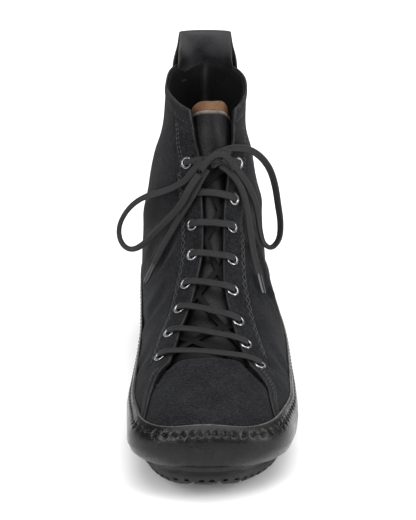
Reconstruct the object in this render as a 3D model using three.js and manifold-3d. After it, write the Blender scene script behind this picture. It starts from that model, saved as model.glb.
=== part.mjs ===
// High top lace-up shoe, the left one of a pair, standing empty on its sole.
// Millimetres. +X is the wearer's outer (lateral) side, -Y the toe, +Z up, the floor at z = 0.
//
// Every curved piece comes from one function, lastPoint(along, around), the surface of the shoe last:
// `along` runs from 0 at the toe tip to 1 above the collar, through sections that fan round the instep,
// `around` runs from -1 to 1, 0 on the instep ridge, +-1 under the foot and down the back of the heel.
import * as THREE from "three";
import { mergeVertices } from "three/addons/utils/BufferGeometryUtils.js";
import Module from "manifold-3d";

const wasm = await Module();
wasm.setup();

// Driving dimensions of the form
const UPPER_LENGTH = 284;
const BALL_WIDTH = 98;
const INSTEP_HEIGHT = 91; // from the footbed to the bend of the instep
const SHAFT_HEIGHT = 72; // from the bend of the instep to the collar
const FOREFOOT_THICKNESS = 13;
const HEEL_THICKNESS = 18;
const TOE_SPRING = 14;
const ARCH_LIFT = 2.5;
const COLLAR_DIP = 6; // the collar is this much lower at the facings than at the back
const COLLAR_TILT = 0.06; // the collar falls this much per millimetre towards the outer side
const COLLAR_BACK = 0.965; // share of UPPER_LENGTH
const COLLAR_FRONT = 0.7;

// Walls and layers
const WALL = 1.8;
const QUARTER_STEP = 1.2; // the quarters lie on the vamp
const RAND_THICKNESS = 1.8;
const TONGUE_THICKNESS = 2;
const TONGUE_DEPTH = 5; // outer face of the tongue under the last's surface
const TONGUE_SEAT = 0.018; // it has sunk to its depth this share of the last before the throat
const TONGUE_CORNER = 0.02; // the tongue's top corners are this much lower, as a share of the last
const INSOLE_THICKNESS = 3.5;
const GAP = 0.3; // between pieces that meet

// Sole
const WELT_LEDGE = 1.6; // the sole's top edge stands this far outside the rand
const SOLE_DRAFT = 4; // the sole's side leans in by this much at the floor
const SIDE_RIB = 0.9;
const RIB_HEIGHT = 3;
const LUG_DEPTH = 2.6;
const LUG_GROOVE = 3.2;
const LUG_PITCH = 18;
const LUG_REACH = 9;
const CROSS_PITCH = 25; // between the grooves across the forefoot and the heel

// Rand, the leather band round the foot
const RAND_HEIGHT = 28; // above the footbed, at the ball
const RAND_TOE_DROP = 5; // it is this much lower at the toe tip
const RAND_HEEL_RISE = 3;

// Eyelets and lace
const EYELET_RADIUS = 4;
const EYELET_BORE = 2.2;
const EYELET_TUBE = 2.6;
const EYELET_HOLE = 2.95;
const FLANGE_THICKNESS = 0.8;
const SEAT_RADIUS = EYELET_RADIUS + GAP;
const SEAT_DEPTH = 0.4; // the flat seat of an eyelet is sunk this far in the curved quarter
const TUBE_PROUD = 0.5; // the eyelet's tube passes the inside of the wall by this much
const LACE_WIDTH = 4.6;
const LACE_THICKNESS = 1.3;
const BAR_CLEARANCE = 0.9; // over the middle of the flanges, which are flat on a curved quarter
const BAR_SAG = 1.8;
const UNDER_WIDTH = 3.6; // the hidden runs are bunched a little
const PILLAR_RADIUS = 1.35;
const CORD_RADIUS = 1.5;
const CORD_SIDES = 6;
const CORD_STEP = 7.8;
const AGLET_LENGTH = 13;
const AGLET_RADIUS = 1.4;

// Pull loop at the back
const LOOP_RISE = 21; // above the collar
const LOOP_TOP_WIDTH = 33;
const LOOP_BASE_WIDTH = 38;
const LOOP_THICKNESS = 1.6;
const LOOP_BACK_LEG = 24;
const LOOP_INNER_LEG = 12;
const LOOP_FLATNESS = 0.6; // the strap's top is this share flatter than the heel's curve

// Fineness of the meshes
const ALONG_STEPS = 20;
const AROUND_STEPS = 24;
const SIDE_CURVE_STEPS = 14;
const OUTLINE_STEPS = 18;
const THROAT_STEPS = 10;
const TONGUE_STEPS = 14;
const TONGUE_ACROSS_STEPS = 6;
const LOOP_STEPS = 6;
const BAR_STEPS = 4;
const UNDER_STEPS = 4;
const EYELET_SIDES = 8; // and of their holes
const PILLAR_SIDES = 6; // of the lace inside an eyelet

// Sections of the last from toe to collar, evenly spaced in `along`.
// soleY, ridgeY: shares of UPPER_LENGTH. soleLevel, ridgeLevel: 0 footbed, 1 instep, 2 collar.
// medial, lateral: half widths, and ridge: the ridge's sideways place, as shares of BALL_WIDTH.
// widest: where the section is widest, as a share of its height. low, high: roundness below and above.
const COLUMNS = [
  ...["soleY", "soleLevel", "ridgeY", "ridgeLevel", "medial"],
  ...["lateral", "widest", "low", "high", "ridge"],
];
const SECTIONS = [
  [0.0, 0.1, 0.0, 0.1, 0.0, 0.0, 0.5, 2.0, 2.0, 0.0],
  [0.006, -0.033, 0.008, 0.208, 0.19, 0.2, 0.45, 1.7, 2.4, 0.0],
  [0.022, -0.033, 0.03, 0.294, 0.325, 0.345, 0.42, 1.7, 2.4, 0.0],
  [0.06, -0.033, 0.075, 0.372, 0.4, 0.44, 0.4, 1.9, 2.4, 0.0],
  [0.125, -0.033, 0.14, 0.446, 0.43, 0.5, 0.38, 2.6, 2.3, 0.005],
  [0.21, -0.033, 0.225, 0.505, 0.458, 0.553, 0.36, 3.4, 2.2, 0.01],
  [0.32, -0.033, 0.29, 0.55, 0.46, 0.556, 0.34, 4.0, 2.0, 0.02],
  [0.45, -0.033, 0.385, 0.67, 0.428, 0.535, 0.33, 3.8, 1.85, 0.035],
  [0.6, -0.033, 0.47, 0.832, 0.402, 0.505, 0.33, 3.6, 1.8, 0.045],
  [0.79, -0.033, 0.54, 1.005, 0.408, 0.438, 0.35, 3.4, 1.85, 0.05],
  [0.952, -0.033, 0.59, 1.214, 0.418, 0.39, 0.42, 3.0, 1.9, 0.05],
  [0.984, 0.15, 0.622, 1.412, 0.408, 0.376, 0.5, 2.5, 2.0, 0.05],
  [0.992, 0.527, 0.645, 1.586, 0.383, 0.35, 0.5, 2.3, 2.0, 0.05],
  [0.978, 0.901, 0.66, 1.735, 0.33, 0.308, 0.5, 2.2, 2.0, 0.045],
  [0.968, 1.403, 0.672, 1.871, 0.272, 0.262, 0.52, 2.3, 1.9, 0.04],
  [0.965, 2.153, 0.685, 2.132, 0.248, 0.28, 0.55, 2.4, 1.8, 0.03],
];

// The sole's height along the shoe: flat at forefoot and heel, hollow at the arch, turned up at the toe.
const SPRING_END = 0.24;
const FLAT_END = 0.44;
const HEEL_START = 0.74;
const LEAN_POWER = 1.5; // how the sections lean towards the ridge with height
const HALVINGS = 24; // of an interval, when a place is searched for

const smooth = THREE.MathUtils.smoothstep;
const lerp = THREE.MathUtils.lerp;

function soleBottom(y) {
  const share = y / UPPER_LENGTH;
  const spring = TOE_SPRING * Math.max(0, (SPRING_END - share) / SPRING_END) ** 2;
  const middle = THREE.MathUtils.clamp((share - FLAT_END) / (HEEL_START - FLAT_END), 0, 1);
  return spring + ARCH_LIFT * Math.sin(Math.PI * middle) ** 2;
}

function footbed(y) {
  const share = y / UPPER_LENGTH;
  const spring = TOE_SPRING * Math.max(0, (SPRING_END - share) / SPRING_END) ** 2;
  return spring + lerp(FOREFOOT_THICKNESS, HEEL_THICKNESS, smooth(share, FLAT_END - 0.02, HEEL_START));
}

function levelHeight(level) {
  if (level < 1) return level * INSTEP_HEIGHT;
  return INSTEP_HEIGHT + (level - 1) * SHAFT_HEIGHT;
}

// The section at `along`, on a smooth curve through every row of the table.
function sectionAt(along) {
  const last = SECTIONS.length - 1;
  const x = THREE.MathUtils.clamp(along, 0, 1) * last;
  const i = Math.min(Math.floor(x), last - 1);
  const t = x - i;
  const rows = [Math.max(i - 1, 0), i, i + 1, Math.min(i + 2, last)].map((k) => SECTIONS[k]);
  const section = {};
  COLUMNS.forEach((name, c) => {
    const [a, b, d, e] = rows.map((row) => row[c]);
    section[name] = b + 0.5 * t * (d - a + t * (2 * a - 5 * b + 4 * d - e + t * (3 * (b - d) + e - a)));
  });
  return section;
}

function lastPoint(along, around) {
  const s = sectionAt(along);
  const up = Math.cos(around * Math.PI);
  const side = Math.sin(around * Math.PI);
  const power = 2 / (up > 0 ? s.high : s.low);
  const rise = Math.sign(up) * Math.abs(up) ** power;
  const height = rise > 0 ? lerp(s.widest, 1, rise) : s.widest * (1 + rise);
  const half = (side < 0 ? s.medial : s.lateral) * BALL_WIDTH;
  const lean = s.ridge * BALL_WIDTH * Math.max(rise, 0) ** LEAN_POWER;
  const x = Math.sign(side) * half * Math.abs(side) ** power + lean;
  const y = lerp(s.soleY, s.ridgeY, height) * UPPER_LENGTH;
  const soleZ = footbed(s.soleY * UPPER_LENGTH) + levelHeight(s.soleLevel);
  const ridgeZ = footbed(s.ridgeY * UPPER_LENGTH) + levelHeight(s.ridgeLevel);
  return new THREE.Vector3(x, y, lerp(soleZ, ridgeZ, height));
}

const STEP = 0.004;
const wrap = (around) => (around > 1 ? around - 2 : around < -1 ? around + 2 : around);

function lastNormal(along, around) {
  if (along < STEP / 2) return new THREE.Vector3(0, -1, 0);
  const a = Math.min(along, 1 - STEP);
  const forward = lastPoint(a + STEP, around).sub(lastPoint(a - Math.min(STEP, a), around));
  const round = lastPoint(a, wrap(around + STEP)).sub(lastPoint(a, wrap(around - STEP)));
  return round.cross(forward).normalize();
}

const offsetPoint = (along, around, offset) =>
  lastPoint(along, around).addScaledVector(lastNormal(along, around), offset);

// Meshes and solids

function geometryOf(points, faces) {
  const geometry = new THREE.BufferGeometry();
  geometry.setAttribute("position", new THREE.Float32BufferAttribute(points.flatMap((p) => p.toArray()), 3));
  geometry.setIndex(faces.flat());
  return geometry;
}

function solidOf(geometry) {
  const bare = geometry.clone();
  bare.deleteAttribute("normal");
  bare.deleteAttribute("uv");
  const merged = mergeVertices(bare, 1e-4);
  const indices = merged.index.array;
  const kept = [];
  for (let i = 0; i < indices.length; i += 3) {
    const [a, b, c] = indices.slice(i, i + 3);
    if (a !== b && b !== c && c !== a) kept.push(a, b, c);
  }
  const triVerts = new Uint32Array(kept);
  const vertProperties = merged.attributes.position.array;
  const solid = new wasm.Manifold(new wasm.Mesh({ numProp: 3, vertProperties, triVerts }));
  if (solid.volume() > 0) return solid;
  for (let i = 0; i < triVerts.length; i += 3) {
    [triVerts[i], triVerts[i + 1]] = [triVerts[i + 1], triVerts[i]];
  }
  return new wasm.Manifold(new wasm.Mesh({ numProp: 3, vertProperties, triVerts }));
}

function geometryFrom(solid) {
  const mesh = solid.getMesh();
  const geometry = new THREE.BufferGeometry();
  const positions = new Float32Array(mesh.numVert * 3);
  for (let i = 0; i < mesh.numVert; i++) {
    positions.set(mesh.vertProperties.subarray(i * mesh.numProp, i * mesh.numProp + 3), i * 3);
  }
  geometry.setAttribute("position", new THREE.BufferAttribute(positions, 3));
  geometry.setIndex(new THREE.BufferAttribute(mesh.triVerts, 1));
  return geometry;
}

// A closed skin through rings of points that all have the same length, with flat fans at both ends.
function loft(rings) {
  const count = rings[0].length;
  const points = rings.flat();
  const faces = [];
  for (let r = 0; r + 1 < rings.length; r++) {
    for (let i = 0; i < count; i++) {
      const j = (i + 1) % count;
      const [a, b] = [r * count, (r + 1) * count];
      faces.push([a + i, a + j, b + j], [a + i, b + j, b + i]);
    }
  }
  [rings[0], rings.at(-1)].forEach((ring, end) => {
    const centre = ring.reduce((sum, p) => sum.add(p), new THREE.Vector3()).divideScalar(count);
    points.push(centre);
    const first = end * (rings.length - 1) * count;
    for (let i = 0; i < count; i++) {
      const j = (i + 1) % count;
      faces.push(end ? [first + i, first + j, points.length - 1] : [first + j, first + i, points.length - 1]);
    }
  });
  return solidOf(geometryOf(points, faces));
}

// The whole last at one offset from its surface, closed at the top.
function sock(offset) {
  const rings = [];
  for (let i = 1; i <= ALONG_STEPS; i++) {
    const ring = [];
    for (let k = 0; k < AROUND_STEPS; k++) {
      ring.push(offsetPoint(i / ALONG_STEPS, (2 * k) / AROUND_STEPS - 1, offset));
    }
    rings.push(ring);
  }
  const tip = offsetPoint(0, 0, offset);
  return loft([rings[0].map(() => tip.clone()), ...rings]);
}

// A closed slab over part of the last: place(s, t) gives { along, around }, outer and inner its offsets.
function slab(place, outer, inner, sSteps, tSteps) {
  const rings = [];
  for (let i = 0; i <= sSteps; i++) {
    const s = i / sSteps;
    const face = (offset, backwards) => {
      const row = [];
      for (let k = 0; k <= tSteps; k++) {
        const t = (backwards ? tSteps - k : k) / tSteps;
        const { along, around } = place(s, t);
        row.push(offsetPoint(along, around, offset(s, t)));
      }
      return row;
    };
    rings.push([...face(outer, false), ...face(inner, true)]);
  }
  return stripLoft(rings);
}

// Like loft, for rings made of two rows that face each other, whose ends are closed by strips.
function stripLoft(rings) {
  const count = rings[0].length;
  const faces = [];
  for (let r = 0; r + 1 < rings.length; r++) {
    for (let i = 0; i < count; i++) {
      const j = (i + 1) % count;
      const [a, b] = [r * count, (r + 1) * count];
      faces.push([a + i, a + j, b + j], [a + i, b + j, b + i]);
    }
  }
  [0, rings.length - 1].forEach((r) => {
    for (let i = 0; i + 1 < count / 2; i++) {
      const [a, b] = [r * count + i, r * count + i + 1];
      const [c, d] = [r * count + count - 2 - i, r * count + count - 1 - i];
      faces.push(...(r ? [[a, b, c], [a, c, d]] : [[b, a, c], [c, a, d]]));
    }
  });
  return solidOf(geometryOf(rings.flat(), faces));
}

const REACH = 400; // longer than the shoe, for cutters
const CUTTER_HEIGHT = 16; // of the small cutters that stand on the quarters

// A cutter with the outline [[y, z], ...] as seen from the side, as wide as the shoe and wider.
function sideCutter(outline, tilt = 0) {
  const shape = new THREE.Shape(outline.map(([y, z]) => new THREE.Vector2(y, z)));
  const geometry = new THREE.ExtrudeGeometry(shape, { depth: REACH, bevelEnabled: false });
  const basis = new THREE.Matrix4().set(0, 0, 1, -REACH / 2, 1, 0, 0, 0, 0, 1, 0, 0, 0, 0, 0, 1);
  geometry.applyMatrix4(basis);
  const shear = new THREE.Matrix4().set(1, 0, 0, 0, 0, 1, 0, 0, -tilt, 0, 1, 0, 0, 0, 0, 1);
  return solidOf(geometry.applyMatrix4(shear));
}

// A cutter with the outline [[x, y], ...] as seen from above, from height z up.
function planCutter(outline, z) {
  const shape = new THREE.Shape(outline.map(([x, y]) => new THREE.Vector2(x, y)));
  const geometry = new THREE.ExtrudeGeometry(shape, { depth: REACH, bevelEnabled: false });
  return solidOf(geometry.translate(0, 0, z));
}

const CURVE_MARGIN = 20; // side curves go on this far past the toe and the heel

// Outline points of a curve z = height(y) from before the toe to behind the heel.
function sideCurve(height) {
  const points = [];
  for (let i = 0; i <= SIDE_CURVE_STEPS; i++) {
    const y = lerp(-CURVE_MARGIN, UPPER_LENGTH + CURVE_MARGIN, i / SIDE_CURVE_STEPS);
    points.push([y, height(THREE.MathUtils.clamp(y, 0, UPPER_LENGTH))]);
  }
  return points;
}

const below = (height) => {
  const curve = sideCurve(height);
  return sideCutter([...curve, [curve.at(-1)[0], -REACH], [curve[0][0], -REACH]]);
};

// The rand's upper edge, and the edges of quarters and throat

function randTop(y) {
  const share = y / UPPER_LENGTH;
  const toe = RAND_TOE_DROP * (1 - smooth(share, 0, 0.16));
  return footbed(y) + RAND_HEIGHT - toe + RAND_HEEL_RISE * smooth(share, 0.6, 0.95);
}

// The toe panel (vamp) as seen from above: the quarters start outside it. Shares of ball width and length.
const VAMP_EDGE = [
  { side: -0.2, along: 0.3 },
  { side: -0.235, along: 0.268 },
  { side: -0.29, along: 0.247 },
  { side: -0.325, along: 0.205 },
  { side: -0.365, along: 0.145 },
  { side: -0.382, along: 0.088 },
  { side: -0.43, along: -0.02 },
  { side: 0.49, along: -0.02 },
  { side: 0.43, along: 0.085 },
  { side: 0.42, along: 0.13 },
  { side: 0.385, along: 0.2 },
  { side: 0.33, along: 0.222 },
  { side: 0.275, along: 0.245 },
  { side: 0.25, along: 0.285 },
];

// The throat between the facings, from the toe panel up past the collar: places on the last.
const THROAT_START = 0.378;
const THROAT_EDGES = [
  { along: THROAT_START, medial: -0.165, lateral: 0.15 },
  { along: 0.45, medial: -0.145, lateral: 0.1 },
  { along: 0.49, medial: -0.11, lateral: 0.078 },
  { along: 0.53, medial: -0.088, lateral: 0.06 },
  { along: 0.576, medial: -0.06, lateral: 0.06 },
  { along: 0.63, medial: -0.056, lateral: 0.065 },
  { along: 0.7, medial: -0.06, lateral: 0.078 },
  { along: 0.8, medial: -0.073, lateral: 0.105 },
  { along: 0.9, medial: -0.1, lateral: 0.16 },
  { along: 1, medial: -0.15, lateral: 0.22 },
];

// The eyelets, from the toe up: places on the last.
const EYELET_ROWS = [
  { medialAlong: 0.406, medial: -0.219, lateralAlong: 0.373, lateral: 0.193 },
  { medialAlong: 0.45, medial: -0.195, lateralAlong: 0.419, lateral: 0.142 },
  { medialAlong: 0.489, medial: -0.16, lateralAlong: 0.459, lateral: 0.116 },
  { medialAlong: 0.529, medial: -0.138, lateralAlong: 0.512, lateral: 0.096 },
  { medialAlong: 0.576, medial: -0.107, lateralAlong: 0.566, lateral: 0.098 },
  { medialAlong: 0.633, medial: -0.103, lateralAlong: 0.628, lateral: 0.104 },
  { medialAlong: 0.702, medial: -0.112, lateralAlong: 0.691, lateral: 0.12 },
  { medialAlong: 0.786, medial: -0.132, lateralAlong: 0.788, lateral: 0.155 },
];

// A value from a table with an `along` column, in straight steps between its rows.
function fromTable(table, column, along) {
  let i = 0;
  while (i < table.length - 2 && table[i + 1].along < along) i++;
  const t = THREE.MathUtils.clamp((along - table[i].along) / (table[i + 1].along - table[i].along), 0, 1);
  return lerp(table[i][column], table[i + 1][column], t);
}

// The feather line, where the upper meets the sole

function featherAround(along) {
  let [low, high] = [0.5, 1];
  for (let i = 0; i < HALVINGS; i++) {
    const middle = (low + high) / 2;
    const p = lastPoint(along, middle);
    if (p.z > footbed(p.y) + GAP) low = middle;
    else high = middle;
  }
  return low;
}

// The end of the feather line between two sections, one of which has its back centre above the footbed.
function featherEnd(above, under) {
  for (let i = 0; i < HALVINGS; i++) {
    const middle = (above + under) / 2;
    const p = lastPoint(middle, 1);
    if (p.z > footbed(p.y) + GAP) above = middle;
    else under = middle;
  }
  return under;
}

// The feather line as seen from above, moved outwards: the lateral side from toe to heel, then the medial.
function featherOutline(outwards) {
  const [toe, heel] = [featherEnd(0, 0.1), featherEnd(0.8, 0.6)];
  const lateral = [];
  const medial = [];
  for (let i = 0; i <= OUTLINE_STEPS; i++) {
    const along = lerp(toe, heel, (1 - Math.cos((Math.PI * i) / OUTLINE_STEPS)) / 2);
    const around = i === 0 || i === OUTLINE_STEPS ? 1 : featherAround(along);
    lateral.push(lastPoint(along, around));
    medial.unshift(lastPoint(along, -around));
  }
  const loop = [...lateral, ...medial.slice(1, -1)];
  const moved = loop.map((p, i) => {
    const before = loop[(i + loop.length - 1) % loop.length];
    const after = loop[(i + 1) % loop.length];
    const normal = new THREE.Vector3(after.y - before.y, before.x - after.x, 0).normalize();
    const point = p.clone().addScaledVector(normal, outwards);
    return { point, normal };
  });
  return [...moved.slice(0, lateral.length), ...moved.slice(lateral.length - 1), moved[0]];
}

// Pieces of the upper

const collarHeight = (y) => {
  const [back, front] = [COLLAR_BACK * UPPER_LENGTH, COLLAR_FRONT * UPPER_LENGTH];
  const forward = Math.max(0, back - y) / (back - front);
  return HEEL_THICKNESS + INSTEP_HEIGHT + SHAFT_HEIGHT - COLLAR_DIP * forward ** 2;
};

function aboveCollar(lift) {
  const curve = sideCurve((y) => collarHeight(y) + lift);
  return sideCutter([...curve, [curve.at(-1)[0], REACH], [curve[0][0], REACH]], COLLAR_TILT);
}

function throatCutter() {
  const place = (s, t) => {
    const along = lerp(THROAT_START, 1, s);
    const [medial, lateral] = ["medial", "lateral"].map((side) => fromTable(THROAT_EDGES, side, along));
    return { along, around: lerp(medial, lateral, t) };
  };
  const deep = () => -2 * WALL;
  const high = () => 4 * QUARTER_STEP;
  return slab(place, high, deep, THROAT_STEPS, 4);
}

function makeUpper() {
  const vamp = VAMP_EDGE.map(({ side, along }) => [side * BALL_WIDTH, along * UPPER_LENGTH]);
  const quarters = sock(QUARTER_STEP)
    .subtract(planCutter(vamp, FOREFOOT_THICKNESS))
    .subtract(below((y) => randTop(y) + GAP));
  let upper = sock(0)
    .add(quarters)
    .subtract(sock(-WALL))
    .subtract(below((y) => footbed(y) + GAP))
    .subtract(aboveCollar(0))
    .subtract(throatCutter());
  for (const eyelet of eyelets) {
    const hole = new THREE.CylinderGeometry(EYELET_HOLE, EYELET_HOLE, CUTTER_HEIGHT, EYELET_SIDES);
    const seat = new THREE.CylinderGeometry(SEAT_RADIUS, SEAT_RADIUS, CUTTER_HEIGHT, EYELET_SIDES);
    upper = upper
      .subtract(standing(hole, eyelet, 0))
      .subtract(standing(seat, eyelet, CUTTER_HEIGHT / 2 - SEAT_DEPTH));
  }
  return upper;
}

const makeRand = () =>
  sock(GAP + RAND_THICKNESS)
    .subtract(sock(GAP))
    .intersect(below(randTop))
    .subtract(below((y) => footbed(y) + GAP));

// The tongue, seated under the toe panel and running under the hidden lace runs to the collar.
const TONGUE_EDGES = [
  { along: 0.325, medial: -0.27, lateral: 0.25 },
  { along: 0.45, medial: -0.25, lateral: 0.21 },
  { along: 0.6, medial: -0.2, lateral: 0.19 },
  { along: 0.8, medial: -0.22, lateral: 0.24 },
  { along: 0.95, medial: -0.24, lateral: 0.28 },
];

function makeTongue() {
  const [first, last] = [TONGUE_EDGES[0].along, TONGUE_EDGES.at(-1).along];
  const place = (s, t) => {
    const along = lerp(first, last - TONGUE_CORNER * (2 * t - 1) ** 4, s);
    const [medial, lateral] = ["medial", "lateral"].map((side) => fromTable(TONGUE_EDGES, side, along));
    return { along, around: lerp(medial, lateral, t) };
  };
  const seat = -WALL - 2 * GAP;
  const free = (THROAT_START - TONGUE_SEAT - first) / (last - first);
  const outer = (s) => lerp(seat, -TONGUE_DEPTH, smooth(s, 0, free));
  const inner = (s) => outer(s) - TONGUE_THICKNESS;
  return slab(place, outer, inner, TONGUE_STEPS, TONGUE_ACROSS_STEPS);
}

const makeInsole = () =>
  sock(-WALL - GAP)
    .intersect(below((y) => footbed(y) + GAP + INSOLE_THICKNESS))
    .subtract(below((y) => footbed(y) + GAP));

// Sole

// The side of the sole from its top edge down: a rib over a groove, then the leaning wall.
const SOLE_SIDE = [
  { drop: -0.8, inset: 1.4 },
  { drop: 0.8, inset: 0 },
  { drop: RIB_HEIGHT, inset: 0.1 },
  { drop: RIB_HEIGHT + 0.7, inset: SIDE_RIB },
  { drop: RIB_HEIGHT + 1.7, inset: SIDE_RIB },
  { drop: RIB_HEIGHT + 2.4, inset: 0.4 },
];

function makeOutsole() {
  const edge = featherOutline(GAP + RAND_THICKNESS + WELT_LEDGE);
  const ring = (height, inset) =>
    edge.map(({ point, normal }) => {
      const p = point.clone().addScaledVector(normal, -inset);
      return p.setZ(height(THREE.MathUtils.clamp(point.y, 0, UPPER_LENGTH)));
    });
  const rings = SOLE_SIDE.map(({ drop, inset }) => ring((y) => footbed(y) - drop, inset));
  rings.push(ring((y) => soleBottom(y) + 1.2, SOLE_DRAFT - 0.8));
  rings.push(ring((y) => soleBottom(y), SOLE_DRAFT));
  const grooves = [...edgeGrooves(rings.at(-1), edge), ...crossGrooves()];
  const blank = stripLoft(rings).intersect(below(footbed));
  return grooves.reduce((sole, cut) => sole.subtract(cut), blank);
}

// A groove in the underside from one point to another, following the bottom.
function groove(from, to) {
  const across = to.clone().sub(from).setZ(0).normalize();
  across.set(-across.y, across.x, 0).multiplyScalar(LUG_GROOVE / 2);
  const end = (p) => {
    const bottom = soleBottom(THREE.MathUtils.clamp(p.y, 0, UPPER_LENGTH));
    const corner = (side, z) => p.clone().addScaledVector(across, side).setZ(bottom + z);
    return [corner(1, -LUG_DEPTH), corner(-1, -LUG_DEPTH), corner(-1, LUG_DEPTH), corner(1, LUG_DEPTH)];
  };
  return loft([end(from), end(to)]);
}

function edgeGrooves(bottom, edge) {
  const grooves = [];
  let walked = LUG_PITCH / 2;
  for (let i = 0; i + 1 < bottom.length; i++) {
    const length = bottom[i].distanceTo(bottom[i + 1]);
    for (; walked < length; walked += LUG_PITCH) {
      const t = walked / length;
      const point = bottom[i].clone().lerp(bottom[i + 1], t);
      const normal = edge[i].normal.clone().lerp(edge[i + 1].normal, t).normalize();
      const from = point.clone().addScaledVector(normal, SOLE_DRAFT);
      grooves.push(groove(from, point.addScaledVector(normal, -LUG_REACH)));
    }
    walked -= length;
  }
  return grooves;
}

// Grooves across the tread of forefoot and heel.
const TREAD_ZONES = [
  { from: 0.12, to: 0.42, medial: 0.25, lateral: 0.33 },
  { from: 0.78, to: 0.94, medial: 0.17, lateral: 0.17 },
];

function crossGrooves() {
  return TREAD_ZONES.flatMap(({ from, to, medial, lateral }) => {
    const count = Math.round(((to - from) * UPPER_LENGTH) / CROSS_PITCH);
    return Array.from({ length: count }, (_, i) => {
      const y = lerp(from, to, i / (count - 1)) * UPPER_LENGTH;
      const [start, end] = [-medial, lateral].map((half) => new THREE.Vector3(half * BALL_WIDTH, y, 0));
      return groove(start, end);
    });
  });
}

// Eyelets

const eyelets = EYELET_ROWS.flatMap((row, i) => [
  { name: "eyelet_medial_" + (i + 1), along: row.medialAlong, around: row.medial },
  { name: "eyelet_lateral_" + (i + 1), along: row.lateralAlong, around: row.lateral },
]);

// A geometry along +Y, stood on the quarter at a place with its origin `lift` above the surface.
function placed(geometry, place, lift) {
  const turn = new THREE.Quaternion().setFromUnitVectors(
    new THREE.Vector3(0, 1, 0),
    lastNormal(place.along, place.around),
  );
  const origin = offsetPoint(place.along, place.around, QUARTER_STEP + lift);
  return geometry.applyMatrix4(new THREE.Matrix4().compose(origin, turn, new THREE.Vector3(1, 1, 1)));
}

const standing = (geometry, place, lift) => solidOf(placed(geometry, place, lift));

const FLANGE_TOP = GAP + FLANGE_THICKNESS - SEAT_DEPTH; // above the quarter, at the eyelet's middle
const TUBE_END = -QUARTER_STEP - WALL - TUBE_PROUD;

function eyeletGeometry() {
  const seat = GAP - SEAT_DEPTH;
  const profile = [
    [EYELET_BORE, TUBE_END],
    [EYELET_TUBE, TUBE_END],
    [EYELET_TUBE, seat],
    [EYELET_RADIUS, seat],
    [(EYELET_RADIUS + EYELET_BORE) / 2, FLANGE_TOP],
    [EYELET_BORE, FLANGE_TOP - 0.3],
    [EYELET_BORE, TUBE_END],
  ];
  return new THREE.LatheGeometry(profile.map(([r, h]) => new THREE.Vector2(r, h)), EYELET_SIDES);
}

// Pull loop: a strap stitched outside and inside the back of the collar

// The point on the back of the last at a given sideways place and height.
function backPoint(x, z) {
  const side = x < 0 ? -1 : 1;
  const alongFor = (around) => {
    let [low, high] = [0.7, 1];
    for (let i = 0; i < HALVINGS; i++) {
      const middle = (low + high) / 2;
      if (lastPoint(middle, around).z < z) low = middle;
      else high = middle;
    }
    return low;
  };
  let [near, far] = [1, 0.5];
  for (let i = 0; i < HALVINGS; i++) {
    const middle = (near + far) / 2;
    if (Math.abs(lastPoint(alongFor(middle), side * middle).x) < Math.abs(x)) near = middle;
    else far = middle;
  }
  const along = alongFor(near);
  return { point: lastPoint(along, side * near), normal: lastNormal(along, side * near).setZ(0).normalize() };
}

// The strap's middle line: `out` from the last's surface, `up` from the collar.
const LEG_OUT = QUARTER_STEP + GAP + LOOP_THICKNESS / 2;
const LEG_IN = -WALL - GAP - LOOP_THICKNESS / 2;
const LOOP_PATH = [
  { out: LEG_OUT, up: -LOOP_BACK_LEG },
  { out: LEG_OUT, up: 0 },
  { out: LEG_OUT + 1.1, up: 8 },
  { out: LEG_OUT + 0.9, up: 15 },
  { out: LEG_OUT - 0.5, up: 19 },
  { out: (LEG_OUT + LEG_IN) / 2, up: LOOP_RISE - LOOP_THICKNESS / 2 },
  { out: LEG_IN - 0.2, up: 18.5 },
  { out: LEG_IN - 1.4, up: 13 },
  { out: LEG_IN - 1.1, up: 6 },
  { out: LEG_IN, up: 0 },
  { out: LEG_IN, up: -LOOP_INNER_LEG },
];

function makePullLoop() {
  const collar = collarHeight(UPPER_LENGTH);
  const edge = (sign) =>
    LOOP_PATH.map(({ out, up }, i) => {
      const before = LOOP_PATH[Math.max(i - 1, 0)];
      const after = LOOP_PATH[Math.min(i + 1, LOOP_PATH.length - 1)];
      const length = Math.hypot(after.out - before.out, after.up - before.up);
      const half = (sign * LOOP_THICKNESS) / 2;
      const across = { out: (after.up - before.up) / length, up: (before.out - after.out) / length };
      return { out: out + half * across.out, up: up + half * across.up };
    });
  const section = [...edge(1), ...edge(-1).reverse()];
  const rings = [];
  for (let i = 0; i <= LOOP_STEPS; i++) {
    const side = (2 * i) / LOOP_STEPS - 1;
    rings.push(
      section.map(({ out, up }) => {
        const width = lerp(LOOP_BASE_WIDTH, LOOP_TOP_WIDTH, smooth(up, 0, LOOP_RISE));
        const { point, normal } = backPoint((side * width) / 2, collar + Math.min(up, 0));
        const middle = backPoint(0, collar).point.y;
        const flat = LOOP_FLATNESS * smooth(up, 0, LOOP_RISE);
        point.y = lerp(point.y, middle, flat);
        return point.addScaledVector(normal, out).setZ(collar + up);
      }),
    );
  }
  const wall = sock(QUARTER_STEP + GAP).subtract(sock(-WALL - GAP)).subtract(aboveCollar(GAP));
  return stripLoft(rings).subtract(wall);
}

// Lace: one joined solid from eyelet to eyelet, with straight bars outside and slanting runs inside

const BAR_END = FLANGE_TOP + QUARTER_STEP + BAR_CLEARANCE + LACE_THICKNESS / 2; // above the last's surface
const BAR_MIDDLE = BAR_END - BAR_SAG;
const UNDER_LEVEL = QUARTER_STEP + TUBE_END - GAP - LACE_THICKNESS / 2;

const eyeletAt = (side, row) => eyelets.find(({ name }) => name === "eyelet_" + side + "_" + row);

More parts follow.
